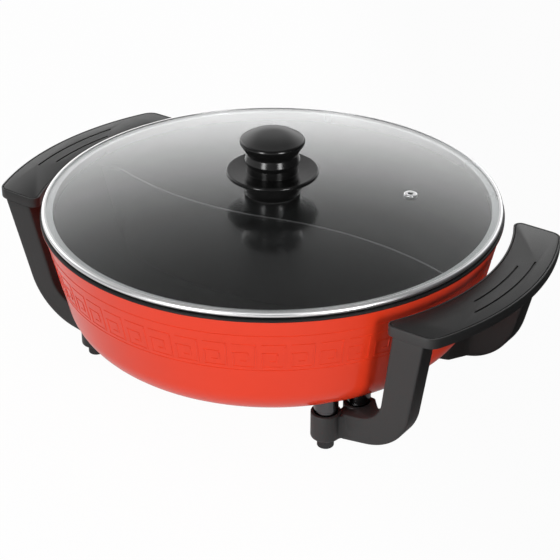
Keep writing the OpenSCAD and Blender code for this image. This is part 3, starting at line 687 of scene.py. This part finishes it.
# %% [markdown]
# ## Lid glass and band
# The lid is a shallow glass dome in a rolled steel band. The dome could be a slice of a ready-made
# sphere, but it is spun with many rings, because a mirror-like surface shows every facet. The
# band's outline follows the sheet: a round outer roll, a lip over the glass and a collar that
# drops into the pan.

# %% Lid sizes
band_low, band_high = (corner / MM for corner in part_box("lid_band"))
BAND_R = band_high.y
BAND_TOP = band_high.z
BAND_H = 4.2
BAND_T = 0.5
BAND_LIP = 3.0
COLLAR_R = 152
BAND_Z = BAND_TOP - BAND_H
GLASS_R = BAND_R - 1.6
GLASS_Z = BAND_Z + BAND_T
GLASS_T = BAND_H - 2 * BAND_T
DOME_R = GLASS_R - 1.4
DOME_H = 4.6
GLASS_TOP = GLASS_Z + GLASS_T + DOME_H
sphere_r = (DOME_R ** 2 + DOME_H ** 2) / (2 * DOME_H)


def glass_at(r):
    """Height of the glass's upper face at a radius."""
    if r > DOME_R:
        return GLASS_Z + GLASS_T
    return GLASS_TOP - sphere_r + math.sqrt(sphere_r ** 2 - r ** 2)


print("glass top", round(GLASS_TOP, 1))

# %% [markdown]
# Thin clear glass hardly dims a lamp, but a ray tracer finds lamps behind refracting glass only by
# luck, which leaves grain. So the pane casts no shadow, and the lamps reach the pan through it.

# %% Spin the glass
GLASS_RINGS = 40
VENT_AT = 96
VENT_TURN = math.radians(35)
VENT_HOLE = 3.2
VENT_DRILL = 12


def drill(x, y, low, high, radius):
    """A scratch cylinder, upright, that cuts a hole."""
    bm = bmesh.new()
    cylinder(bm, radius, high - low, at(x, y, (low + high) / 2))
    return loose(bm)


radii = [GLASS_R * k / GLASS_RINGS for k in range(GLASS_RINGS + 1)]
upper_face = [(r, glass_at(r)) for r in radii]
lower_face = [(r, glass_at(r) - GLASS_T) for r in reversed(radii)]
bm = bmesh.new()
spun(bm, upper_face + lower_face, LARGE_STEPS)
glass = piece("lid_pane", bm, "lid", "glass", [GLASS], "lid_glass")
lean = Matrix.Rotation(math.asin(VENT_AT / sphere_r), 4, "Y")
vent_place = Matrix.Rotation(VENT_TURN, 4, "Z") @ at(VENT_AT, 0, glass_at(VENT_AT)) @ lean
hole = drill(0, 0, -VENT_DRILL, VENT_DRILL, VENT_HOLE)
hole.data.transform(vent_place)
combine(glass, [hole], "DIFFERENCE")
glass.visible_shadow = False

# %% Spin the band
roll = BAND_H / 2 - 0.05
bm = bmesh.new()
spun(bm, rounded([
    (BAND_R - BAND_LIP, BAND_TOP, 0.15), (BAND_R, BAND_TOP, roll), (BAND_R, BAND_Z, roll),
    (COLLAR_R + BAND_T, BAND_Z, 0.3), (COLLAR_R + BAND_T, band_low.z, 0.15),
    (COLLAR_R, band_low.z, 0.15), (COLLAR_R, BAND_Z + BAND_T, 0.3),
    (GLASS_R, BAND_Z + BAND_T, 0), (GLASS_R, BAND_TOP - BAND_T, 0),
    (BAND_R - BAND_LIP, BAND_TOP - BAND_T, 0.15)], 8), LARGE_STEPS)
piece("lid_steel_band", bm, "lid", "polished_steel", [STEEL], "lid_band")

# %% [markdown]
# ## Steam vent
# A small steel eyelet sits in the glass, a short tube with a flange on each side. It could be drawn
# at a slant, but it is simpler to spin it upright round the axis and then lean it onto the dome at
# its own place.

# %% Vent
VENT_FLANGE = 4.7
VENT_R = 2.0
VENT_WALL = 0.9
VENT_GAP = 0.02
vent_out = VENT_R + VENT_WALL
bm = bmesh.new()
spun(bm, rounded([
    (VENT_R, VENT_WALL, 0.4), (VENT_FLANGE, VENT_WALL, 0.6), (VENT_FLANGE, VENT_GAP, 0),
    (vent_out, VENT_GAP, 0), (vent_out, -GLASS_T - VENT_GAP, 0),
    (VENT_FLANGE, -GLASS_T - VENT_GAP, 0), (VENT_FLANGE, -GLASS_T - VENT_WALL, 0.6),
    (VENT_R, -GLASS_T - VENT_WALL, 0.4)], 4), SMALL_STEPS)
bm.transform(vent_place)
piece("vent_ring", bm, "lid", "polished_steel", [STEEL], "vent_eyelet")

# %% [markdown]
# ## Knob
# The knob is two mouldings: a foot with a wide finger guard, and a barrel with a domed cap on it.
# Bevels on a plain cylinder would leave flat bands, so soft arcs between the corners give the long
# highlights that a glossy moulding shows. The cap's top is a little duller than its side.

# %% Knob guard
FOOT_Z = GLASS_TOP + 0.8
FOOT_R, FOOT_LOW_R = 20.6, 19.6
FOOT_FLARE = 4
GUARD_Z = GLASS_TOP + 17.6
GUARD_R, GUARD_UNDER_R = 32.3, 31.0
GUARD_EDGE, GUARD_UNDER, GUARD_ROOT = 2.6, 3, 4.2
GUARD_DISH = 0.9
GRIP_Z = GLASS_TOP + 21.8
NECK_R = 18.0
bm = bmesh.new()
spun(bm, rounded([
    (0, FOOT_Z, 0), (FOOT_LOW_R, FOOT_Z, 0.4), (FOOT_R, FOOT_Z + FOOT_FLARE, 2),
    (FOOT_R, GUARD_Z - GUARD_ROOT, 1.2), (GUARD_UNDER_R, GUARD_Z - GUARD_UNDER, 0.9),
    (GUARD_R, GUARD_Z - GUARD_EDGE, 1), (GUARD_R, GUARD_Z, 1.3),
    (NECK_R, GUARD_Z - GUARD_DISH, 0.2), (NECK_R, GRIP_Z, 0.2), (0, GRIP_Z, 0)],
    7), MIDDLE_STEPS)
piece("knob_guard", bm, "lid", "knob_plastic", [KNOB], "knob_skirt")

# %% Knob cap
CAP_Z = GLASS_TOP + 39
CAP_R = 22.9
CAP_H = 8.4
CAP_RINGS, CAP_KEPT = 20, 18
BARREL_R = 19.0
BARREL_TOP = CAP_Z - 6.6
BARREL_WAIST = (BARREL_R - 1.2, CAP_Z - 8.2)
BARREL_FOOT = (BARREL_R + 0.3, GRIP_Z + 3.2)
BARREL_Z = GRIP_Z + 0.1
DULL_Z = CAP_Z + 1.6
dome_r = (CAP_R ** 2 + CAP_H ** 2) / (2 * CAP_H)
cap_radii = [CAP_R * k / CAP_RINGS for k in range(CAP_KEPT)]
dome = [(r, CAP_Z + CAP_H - dome_r + math.sqrt(dome_r ** 2 - r ** 2)) for r in cap_radii]
bm = bmesh.new()
spun(bm, dome + rounded([
    (*dome[-1], 0), (CAP_R + 0.75, CAP_Z + 0.3, 2.4), (BARREL_R, BARREL_TOP, 1.2),
    (*BARREL_WAIST, 3), (*BARREL_FOOT, 2.4), (NECK_R, BARREL_Z, 0.4), (0, BARREL_Z, 0)],
    8), MIDDLE_STEPS)
for face in bm.faces:
    face.material_index = 1 if face.calc_center_median().z > DULL_Z * MM else 0
piece("knob_cap", bm, "lid", "knob_plastic", [KNOB, KNOB_TOP], "knob_grip")

# %% [markdown]
# ## Handles
# Each handle is one moulding: a curved deck with a shallow tray on top for its cover, and two
# J-shaped legs that run under the pan and end in cups. A leg could be bent along a curve, but its
# sides lean and it widens at its foot. So a leg starts as one edge across the J, which is spun
# round the bend and extruded along the arm and up to the deck, and the strip then gets its width
# and the lean of its sides. The deck is an outline of four arcs that is extruded and bevelled.

# %% Deck outline
GRIP_IN = 167.3
GRIP_OUT = 200
GRIP_HALF = 85.7
GRIP_TOP = 111.8
GRIP_T = 7
GRIP_LIP = 1.3
CORNER_OUT = 10
CORNER_IN = 5
CORNER_STEPS, SIDE_STEPS = 8, 48
QUARTER = math.pi / 2


def arc(centre, radius, start, end, steps):
    """Points of an arc from one angle to another."""
    turns = [start + (end - start) * k / steps for k in range(steps + 1)]
    return [(centre[0] + radius * math.cos(t), centre[1] + radius * math.sin(t)) for t in turns]


def deck_outline(inset):
    """Outline of the right-hand deck, drawn in by the inset."""
    inner, outer, half = GRIP_IN + inset, GRIP_OUT - inset, GRIP_HALF - inset
    big, small = CORNER_OUT - inset, CORNER_IN - inset
    far = (math.sqrt((outer - big) ** 2 - (half - big) ** 2), half - big)
    near = (math.sqrt((inner + small) ** 2 - (half - small) ** 2), half - small)
    far_turn, near_turn = math.atan2(far[1], far[0]), math.atan2(near[1], near[0])
    upper = (arc(far, big, far_turn, QUARTER, CORNER_STEPS)
             + arc(near, small, QUARTER, math.pi + near_turn, CORNER_STEPS))
    lower = [(x, -y) for x, y in reversed(upper)]
    return (arc((0, 0), outer, -far_turn, far_turn, SIDE_STEPS)[1:-1] + upper
            + arc((0, 0), inner, near_turn, -near_turn, SIDE_STEPS)[1:-1] + lower)


print("points round the deck:", len(deck_outline(0)))


# %% Plates and soft edges
def plate(bm, outline, low, high):
    """Extrudes a flat outline upwards and gives the top face."""
    floor = bm.faces.new([bm.verts.new((x * MM, y * MM, low * MM)) for x, y in outline])
    made = bmesh.ops.extrude_face_region(bm, geom=[floor], use_keep_orig=True)["geom"]
    bmesh.ops.translate(bm, vec=(0, 0, (high - low) * MM), verts=verts_of(made))
    bmesh.ops.recalc_face_normals(bm, faces=bm.faces)
    return next(g for g in made if isinstance(g, bmesh.types.BMFace))


def soften(bm, offset, sharper=40):
    """Bevels every edge sharper than an angle."""
    limit = math.radians(sharper)
    sharp = [e for e in bm.edges if e.is_manifold and e.calc_face_angle(0) > limit]
    bmesh.ops.bevel(bm, geom=sharp, offset=offset * MM, segments=3, profile=0.5, affect="EDGES",
                    clamp_overlap=True, material=-1)


def to_side(bm, side):
    """Leaves a right-hand shape on the right for side 1, or mirrors it to the left for -1."""
    bmesh.ops.scale(bm, vec=(side, 1, 1), verts=bm.verts)
    bmesh.ops.recalc_face_normals(bm, faces=bm.faces)


# %% Leg sizes
BEND_X = 120
BEND_Z = 51
LEG_BEND = 22.5
LEG_DEPTH = 21
LEAN_OUT = math.radians(11.2)
LEAN_IN = math.radians(10.1)
ARM_FALL = math.radians(11)
LEAN_SIDE = math.radians(6.5)
LEG_W = 15
ARM_IN = 49
FLARE_IN = 0.5
FLARE_OUT = 14
FOOT_X = 101
DECK_LOW = GRIP_TOP - GRIP_T


def leg_outer(z):
    """Distance of the leg's outer side from the middle plane at a height."""
    return GRIP_HALF - (DECK_LOW - z) * math.tan(LEAN_SIDE)


def leg_inner(x, z):
    """Distance of the leg's inner side from the middle plane, a strip that widens along the arm."""
    share = max((x - BEND_X + FLARE_IN) / (FLARE_IN + FLARE_OUT), 0)
    return min(leg_outer(z) - LEG_W, ARM_IN + share * (leg_outer(0) - LEG_W / 2 - ARM_IN))


print("leg's outer side at the table:", round(leg_outer(0), 1))

# %% Leg strip
BEND_STEPS = 18
ARM_CUTS, RISE_CUTS, ACROSS_CUTS = 8, 10, 6
RISE_EDGE, ACROSS_EDGE = 30, 15
DECK_EMBED = 0.5
LEG_EDGE, LEG_SHARP = 1.2, 55


def edge_near(bm, spot):
    """The edge whose middle is nearest to a point."""
    return min(bm.edges, key=lambda e: ((e.verts[0].co + e.verts[1].co) / 2 - spot).length)


def leg_sheet():
    """The J of the back right leg as a flat sheet in the plane of x and z."""
    bm = bmesh.new()
    centre = Vector((BEND_X, 0, BEND_Z))
    way_out = Vector((math.cos(LEAN_OUT), 0, -math.sin(LEAN_OUT)))
    inner = bm.verts.new(centre + LEG_BEND * way_out)
    outer = bm.verts.new(centre + (LEG_BEND + LEG_DEPTH) * way_out)
    across = bm.edges.new((inner, outer))
    bend = bmesh.ops.spin(bm, geom=[inner, outer, across], cent=centre, axis=(0, 1, 0),
                          angle=QUARTER - LEAN_OUT - ARM_FALL, steps=BEND_STEPS)
    end = next(g for g in bend["geom_last"] if isinstance(g, bmesh.types.BMEdge))
    tips = verts_of(bmesh.ops.extrude_edge_only(bm, edges=[end])["geom"])
    rails = [e for v in tips for e in v.link_edges if e.other_vert(v) not in tips]
    run = BEND_X - FOOT_X
    bmesh.ops.translate(bm, vec=(-run, 0, -run * math.tan(ARM_FALL)), verts=tips)
    bmesh.ops.subdivide_edges(bm, edges=rails, cuts=ARM_CUTS, use_grid_fill=True)
    start = edge_near(bm, centre + (LEG_BEND + LEG_DEPTH / 2) * way_out)
    for v in verts_of(bmesh.ops.extrude_edge_only(bm, edges=[start])["geom"]):
        lean = LEAN_OUT if v.co.x > BEND_X + LEG_BEND + LEG_DEPTH / 2 else LEAN_IN
        v.co += (DECK_LOW + DECK_EMBED - v.co.z) * Vector((math.tan(lean), 0, 1))
    tall = [e for e in bm.edges if extent(e, Z) > RISE_EDGE]
    bmesh.ops.subdivide_edges(bm, edges=tall, cuts=RISE_CUTS, use_grid_fill=True)
    across = [e for e in bm.edges if e.calc_length() > ACROSS_EDGE]
    bmesh.ops.subdivide_edges(bm, edges=across, cuts=ACROSS_CUTS, use_grid_fill=True)
    return bm


def leg_strip():
    """The J of the back right leg, with its width and soft edges."""
    bm = leg_sheet()
    wide = bmesh.ops.extrude_face_region(bm, geom=list(bm.faces), use_keep_orig=True)["geom"]
    far = set(verts_of(wide))
    for v in bm.verts:
        v.co.y = leg_outer(v.co.z) if v in far else leg_inner(v.co.x, v.co.z)
    bmesh.ops.scale(bm, vec=(MM, MM, MM), verts=bm.verts)
    bmesh.ops.recalc_face_normals(bm, faces=bm.faces)
    soften(bm, LEG_EDGE, LEG_SHARP)
    return loose(bm)


# %% Cups
CUP_R = 10.2
CUP_BORE = 8.2
CUP_Z = 27.5
CUP_LOW = 8
POST_LOW = 17
RECESS_R = 6.0
HEAD_Z = 11
HOLE_R = 2.3
CUT_LOW, CUT_HIGH = -5, 40
WEB_R = 10
WEB_SINK = 0.3
WEB_INTO = 3
WEB_RAISED, WEB_LOW = 0.5, 1.5
WEB_EDGE = 0.8


def cup_solid(x, y):
    """A cup without its bores."""
    bm = bmesh.new()
    spun(bm, rounded([(0, CUP_LOW, 0), (CUP_R, CUP_LOW, 1.2), (CUP_R, CUP_Z, 0.8),
                      (0, CUP_Z, 0)], 4), SMALL_STEPS)
    bm.transform(at(x, y, 0))
    return loose(bm)


def cup_web():
    """The fillet between the outer cup and the leg's outer side."""
    x, y = CUPS[0]
    face = leg_outer(CUP_LOW)
    rise = face + WEB_R - WEB_SINK - y
    reach = math.sqrt((CUP_R + WEB_R - WEB_SINK) ** 2 - rise ** 2)
    hollow = arc((x + reach, y + rise), WEB_R, math.atan2(-rise, -reach), -QUARTER, 12)
    bm = bmesh.new()
    plate(bm, hollow + [(x + reach, face - WEB_INTO), (x, face - WEB_INTO), (x, y)],
          CUP_LOW + WEB_RAISED, CUP_Z - WEB_LOW)
    soften(bm, WEB_EDGE)
    return loose(bm)


def leg_with_cups():
    """The back right leg with its two cups, bored for the posts and the screws."""
    strip = leg_strip()
    combine(strip, [cup_web()] + [cup_solid(x, y) for x, y in CUPS], "UNION")
    cuts = ((POST_LOW, CUT_HIGH, CUP_BORE), (CUT_LOW, HEAD_Z, RECESS_R), (0, CUT_HIGH, HOLE_R))
    combine(strip, [drill(x, y, *cut) for cut in cuts for x, y in CUPS], "DIFFERENCE")
    return strip


# %% Whole handles
COVER_T = 3.6
DECK_EDGE = 0.45
SCREW_TURN = math.radians(17)
SCREW_AT = (GRIP_IN + GRIP_OUT) / 2
COUNTERBORE = (DECK_LOW - 2, DECK_LOW + 1.8, 3.3)


def handle(name, side, cad_node):
    """A whole handle, on the right for side 1 and on the left for side -1."""
    bm = bmesh.new()
    top = plate(bm, deck_outline(0), DECK_LOW, GRIP_TOP)
    bmesh.ops.inset_region(bm, faces=[top], thickness=GRIP_LIP * MM, use_even_offset=True)
    tray = bmesh.ops.extrude_discrete_faces(bm, faces=[top])["faces"][0]
    bmesh.ops.translate(bm, vec=(0, 0, -COVER_T * MM), verts=list(tray.verts))
    soften(bm, DECK_EDGE)
    deck = loose(bm)
    legs = [leg_with_cups(), leg_with_cups()]
    legs[1].data.transform(Matrix.Scale(-1, 4, (0, 1, 0)))
    legs[1].data.flip_normals()
    combine(deck, legs, "UNION")
    spots = [(SCREW_AT * math.cos(a), SCREW_AT * math.sin(a)) for a in (-SCREW_TURN, SCREW_TURN)]
    combine(deck, [drill(x, y, *COUNTERBORE) for x, y in spots], "DIFFERENCE")
    bm = taken(deck)
    to_side(bm, side)
    piece(name, bm, "base", "handle_plastic", [HANDLE], cad_node)


handle("handle_right_moulding", 1, "handle_right")
handle("handle_left_moulding", -1, "handle_left")

# %% [markdown]
# ## Covers
# A cover lies in each deck's tray with a thin gap round it and two finger grooves on top. The
# grooves could be a bump, but light has to catch on their edges, so thin curved bars cut them.

# %% Covers
COVER_GAP = 0.4
COVER_EDGE = 0.35
COVER_RAISED = 0.05
GROOVES = ((180, 9.2), (189, 12.4))
GROOVE_W = 1.4
GROOVE_T = 0.8
GROOVE_STEPS = 40
GROOVE_OVER = 2


def groove_bar(r, half, side):
    """A curved bar that cuts one finger groove."""
    half = math.radians(half)
    outline = (arc((0, 0), r + GROOVE_W / 2, -half, half, GROOVE_STEPS)
               + arc((0, 0), r - GROOVE_W / 2, half, -half, GROOVE_STEPS))
    bm = bmesh.new()
    plate(bm, outline, GRIP_TOP - GROOVE_T, GRIP_TOP + GROOVE_OVER)
    to_side(bm, side)
    return loose(bm)


def cover(name, side, cad_node):
    """The cover of one handle."""
    bm = bmesh.new()
    plate(bm, deck_outline(GRIP_LIP + COVER_GAP), GRIP_TOP - COVER_T + COVER_RAISED, GRIP_TOP)
    soften(bm, COVER_EDGE)
    to_side(bm, side)
    obj = piece(name, bm, "base", "cover_plastic", [COVER], cad_node)
    combine(obj, [groove_bar(r, half, side) for r, half in GROOVES], "DIFFERENCE")


cover("cover_right", 1, "grip_cover_right")
cover("cover_left", -1, "grip_cover_left")

# %% [markdown]
# ## Posts and feet
# Turned posts carry the pan in the cups, and a soft tip under each outer cup stands on the table.
# Both could be spun as the cups are, but a cylinder with bevelled ends is the same turned form.

# %% Posts and tips
POST_R, POST_EDGE = 7.3, 0.5
TIP_R, TIP_EDGE = 5.7, 0.8
TIP_TOP = HEAD_Z - 0.8
OUTER_POSTS = POSTS[:4]
bm = bmesh.new()
for x, y in POSTS:
    pillar(bm, x, y, POST_LOW, PAD_Z, POST_R, POST_EDGE, ROUND_STEPS)
piece("turned_posts", bm, "base", "post_metal", [POST], "standoffs")
bm = bmesh.new()
for x, y in OUTER_POSTS:
    pillar(bm, x, y, 0, TIP_TOP, TIP_R, TIP_EDGE, ROUND_STEPS)
piece("foot_tips", bm, "base", "rubber", [RUBBER], "foot_pads")

# %% [markdown]
# ## Small CAD pieces
# Screws, washers, the heater and the inlet are small or hidden underneath. They could be modelled
# again, but their CAD meshes are right as they are, so they only get the finishes from above.

# %% Finishes for the kept nodes
KEPT = {
    SCREW: ("cover_screws", "leg_screws", "leg_washers", "heater_clips", "clip_screws",
            "inlet_screws", "knob_washer", "knob_screw"),
    SHEATH: ("heater_tube",), CERAMIC: ("terminal_beads",), BRASS: ("knob_insert",),
    TURNED: ("power_pins", "probe_sleeve"), HANDLE: ("inlet_housing", "inlet_plate"),
    RUBBER: ("knob_seat", "knob_gasket"),
}
for mat, names in KEPT.items():
    for name in names:
        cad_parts[name].data.materials.clear()
        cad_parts[name].data.materials.append(mat)
print("kept nodes:", sum(len(names) for names in KEPT.values()))

# %% [markdown]
# ## Floor
# The pot stands on a wide pale floor. A floor that is only lit turns grey in places, so most of
# what the camera sees of it is a white glow. It darkens towards the right, like a dark cloth laid
# there, which keeps light off that side of the pot. It is clear from below, so that the pot's
# underside can be looked at.


# %% Studio node tools
def along(tree, place, direction):
    """How far a place lies along a direction."""
    dot = node(tree, "VectorMath", {0: place, 1: direction}, operation="DOT_PRODUCT")
    return dot.outputs["Value"]


def either(tree, factor, a, b):
    """One shader where the factor is 0, and another where it is 1."""
    return node(tree, "MixShader", {"Fac": factor, 1: a, 2: b}).outputs["Shader"]


# %% Floor
FLOOR_HALF = 8
SHADE_SPAN = (0.04, 0.16)
SHADE_LIGHT = (1.0, 0.05)
CAMERA_GLOW, MIRROR_GLOW = 0.95, 0.5
GLOW_STRENGTH = 1.02
pale = finish("pale_floor", grey(0.7), grey(0.72), (0.7, 0.8), (300, 0.02))
tree = pale.node_tree
shader = tree.nodes["Principled BSDF"]
color = shader.inputs["Base Color"]
sideways = along(tree, node(tree, "TexCoord").outputs["Object"], right)
light = spread(tree, sideways, *SHADE_SPAN, *SHADE_LIGHT)
dimmed = node(tree, "VectorMath", {0: color.links[0].from_socket, "Scale": light},
              operation="SCALE")
feed(tree, color, dimmed.outputs["Vector"])
ray = node(tree, "LightPath")
seen = product(tree, ray.outputs["Is Camera Ray"], CAMERA_GLOW)
mirrored = product(tree, ray.outputs["Is Glossy Ray"], light)
share = node(tree, "Math", {0: mirrored, 1: MIRROR_GLOW, 2: seen}, operation="MULTIPLY_ADD")
glow = node(tree, "Emission", {"Strength": GLOW_STRENGTH}).outputs["Emission"]
from_above = either(tree, share.outputs["Value"], shader.outputs["BSDF"], glow)
below = node(tree, "NewGeometry").outputs["Backfacing"]
clear = node(tree, "BsdfTransparent").outputs["BSDF"]
feed(tree, tree.nodes["Material Output"].inputs["Surface"], either(tree, below, from_above, clear))
bm = bmesh.new()
bmesh.ops.create_grid(bm, x_segments=1, y_segments=1, size=FLOOR_HALF)
floor = add_object("floor", bm, [pale])
print("floor is", 2 * FLOOR_HALF, "m wide")

# %% [markdown]
# ## Sky
# The lid mirrors what is behind the pot: white at its far edge, dark at its near edge. An even sky
# can't give that, so the sky is a lit backdrop low behind the pot with a dark spot above it. The
# side to the right is kept dark too. The camera itself sees plain white.


# %% Sky tools
def ramp(tree, value, stops):
    """A grey scale over a value, from stops of place and brightness."""
    scale = node(tree, "ValToRGB", {"Fac": value})
    marks = scale.color_ramp.elements
    while len(marks) < len(stops):
        marks.new(0.5)
    for mark, (place, bright) in zip(marks, stops):
        mark.position, mark.color = place, (*grey(bright), 1)
    return scale.outputs["Color"]


def times(tree, a, b):
    """The product of two colours."""
    return node(tree, "VectorMath", {0: a, 1: b}, operation="MULTIPLY").outputs["Vector"]


# %% Sky
SPOT_RISE = math.radians(45)
BACKDROP = ((0.0, 0.12), (0.4, 0.2), (0.65, 1.05), (0.885, 1.25), (0.9, 0.98), (0.914, 0.7),
            (0.936, 0.36), (0.953, 0.14), (0.975, 0.04), (1.0, 0.02))
UPWARD = ((0.0, 1.0), (0.55, 1.0), (0.75, 0.3), (0.9, 0.12), (1.0, 0.08))
RIGHTWARD = ((0.0, 1.0), (0.35, 1.0), (0.9, 0.15))
SKY_STRENGTH = 1.6
away = Vector((-math.sin(AZIMUTH), math.cos(AZIMUTH), 0))
dark_spot = away * math.cos(SPOT_RISE) + Vector((0, 0, math.sin(SPOT_RISE)))
world = bpy.data.worlds.new("studio")
bpy.context.scene.world = world
world.use_nodes = True
tree = world.node_tree
where = node(tree, "TexCoord").outputs["Generated"]
height = node(tree, "SeparateXYZ", {"Vector": where}).outputs["Z"]
backdrop = ramp(tree, along(tree, where, dark_spot), BACKDROP)
lowered = times(tree, backdrop, ramp(tree, height, UPWARD))
sided = times(tree, lowered, ramp(tree, along(tree, where, right), RIGHTWARD))
sky = tree.nodes["Background"]
feed(tree, sky.inputs["Color"], sided)
feed(tree, sky.inputs["Strength"], SKY_STRENGTH)
white = node(tree, "Background", {"Color": (1, 1, 1, 1)}).outputs["Background"]
seen = node(tree, "LightPath").outputs["Is Camera Ray"]
feed(tree, tree.nodes["World Output"].inputs["Surface"],
     either(tree, seen, sky.outputs["Background"], white))
print("sky nodes:", len(tree.nodes))

# %% [markdown]
# ## Lamps
# Two low soft boxes, left and right of the camera, light the red wall and give the knob its two
# window highlights. They could light everything, but then they would glare in the lid and on the
# handles, so light linking keeps them off those. A wide box above fills in, and three more lamps
# light one kind of piece each: the cap, the steel band and the handles.


# %% Soft boxes
def soft_box(name, place, target, size, watts, skips=(), only=()):
    """A rectangle of light aimed at a target, that skips some pieces or lights only some."""
    light = bpy.data.lights.new(name, "AREA")
    light.shape = "RECTANGLE"
    light.size, light.size_y = size
    light.energy = watts
    lamp = bpy.data.objects.new(name, light)
    lamp.location = place
    lamp.rotation_euler = (Vector(place) - Vector(target)).to_track_quat("Z", "Y").to_euler()
    bpy.context.scene.collection.objects.link(lamp)
    if skips or only:
        linked = bpy.data.collections.new(name + "_linked")
        lamp.light_linking.receiver_collection = linked
        for piece_name in skips or only:
            linked.objects.link(bpy.data.objects[piece_name])
        for entry in linked.collection_objects:
            entry.light_linking.link_state = "INCLUDE" if only else "EXCLUDE"


def from_camera(turn, rise, distance):
    """A place round the pot, turned to the right from the camera's side and raised."""
    turn, rise = AZIMUTH + math.radians(turn), math.radians(rise)
    flat = math.cos(rise)
    return Vector((math.sin(turn) * flat, -math.cos(turn) * flat, math.sin(rise))) * distance


# %% Place the lamps
MIDDLE = (0, 0, 0.1)
WINDOW = (0.36, 0.74)
MOULDINGS = ("handle_right_moulding", "handle_left_moulding")
soft_box("top_box", (-0.2, 0.1, 1.9), MIDDLE, (1.6, 1.2), 2)
soft_box("left_box", from_camera(-35, 14, 1.5), MIDDLE, WINDOW, 9,
         skips=("handle_left_moulding", "lid_pane"))
soft_box("right_box", from_camera(31, 14, 1.5), MIDDLE, WINDOW, 9, skips=(*MOULDINGS, "lid_pane"))
soft_box("cap_box", from_camera(180, 54, 1.5), (0, 0, 0.15), (0.9, 0.7), 2.6, only=("knob_cap",))
soft_box("band_box", from_camera(0, 50, 1.6), MIDDLE, (3.6, 0.7), 9.5, only=("lid_steel_band",))
soft_box("edge_box", from_camera(-10, 68, 1.6), (0.1, 0, 0.1), (0.9, 0.4), 5, only=MOULDINGS)
bpy.context.scene.view_settings.view_transform = "Standard"
bpy.context.scene.view_settings.look = "None"
print("lamps:", [lamp.name for lamp in bpy.data.lights])
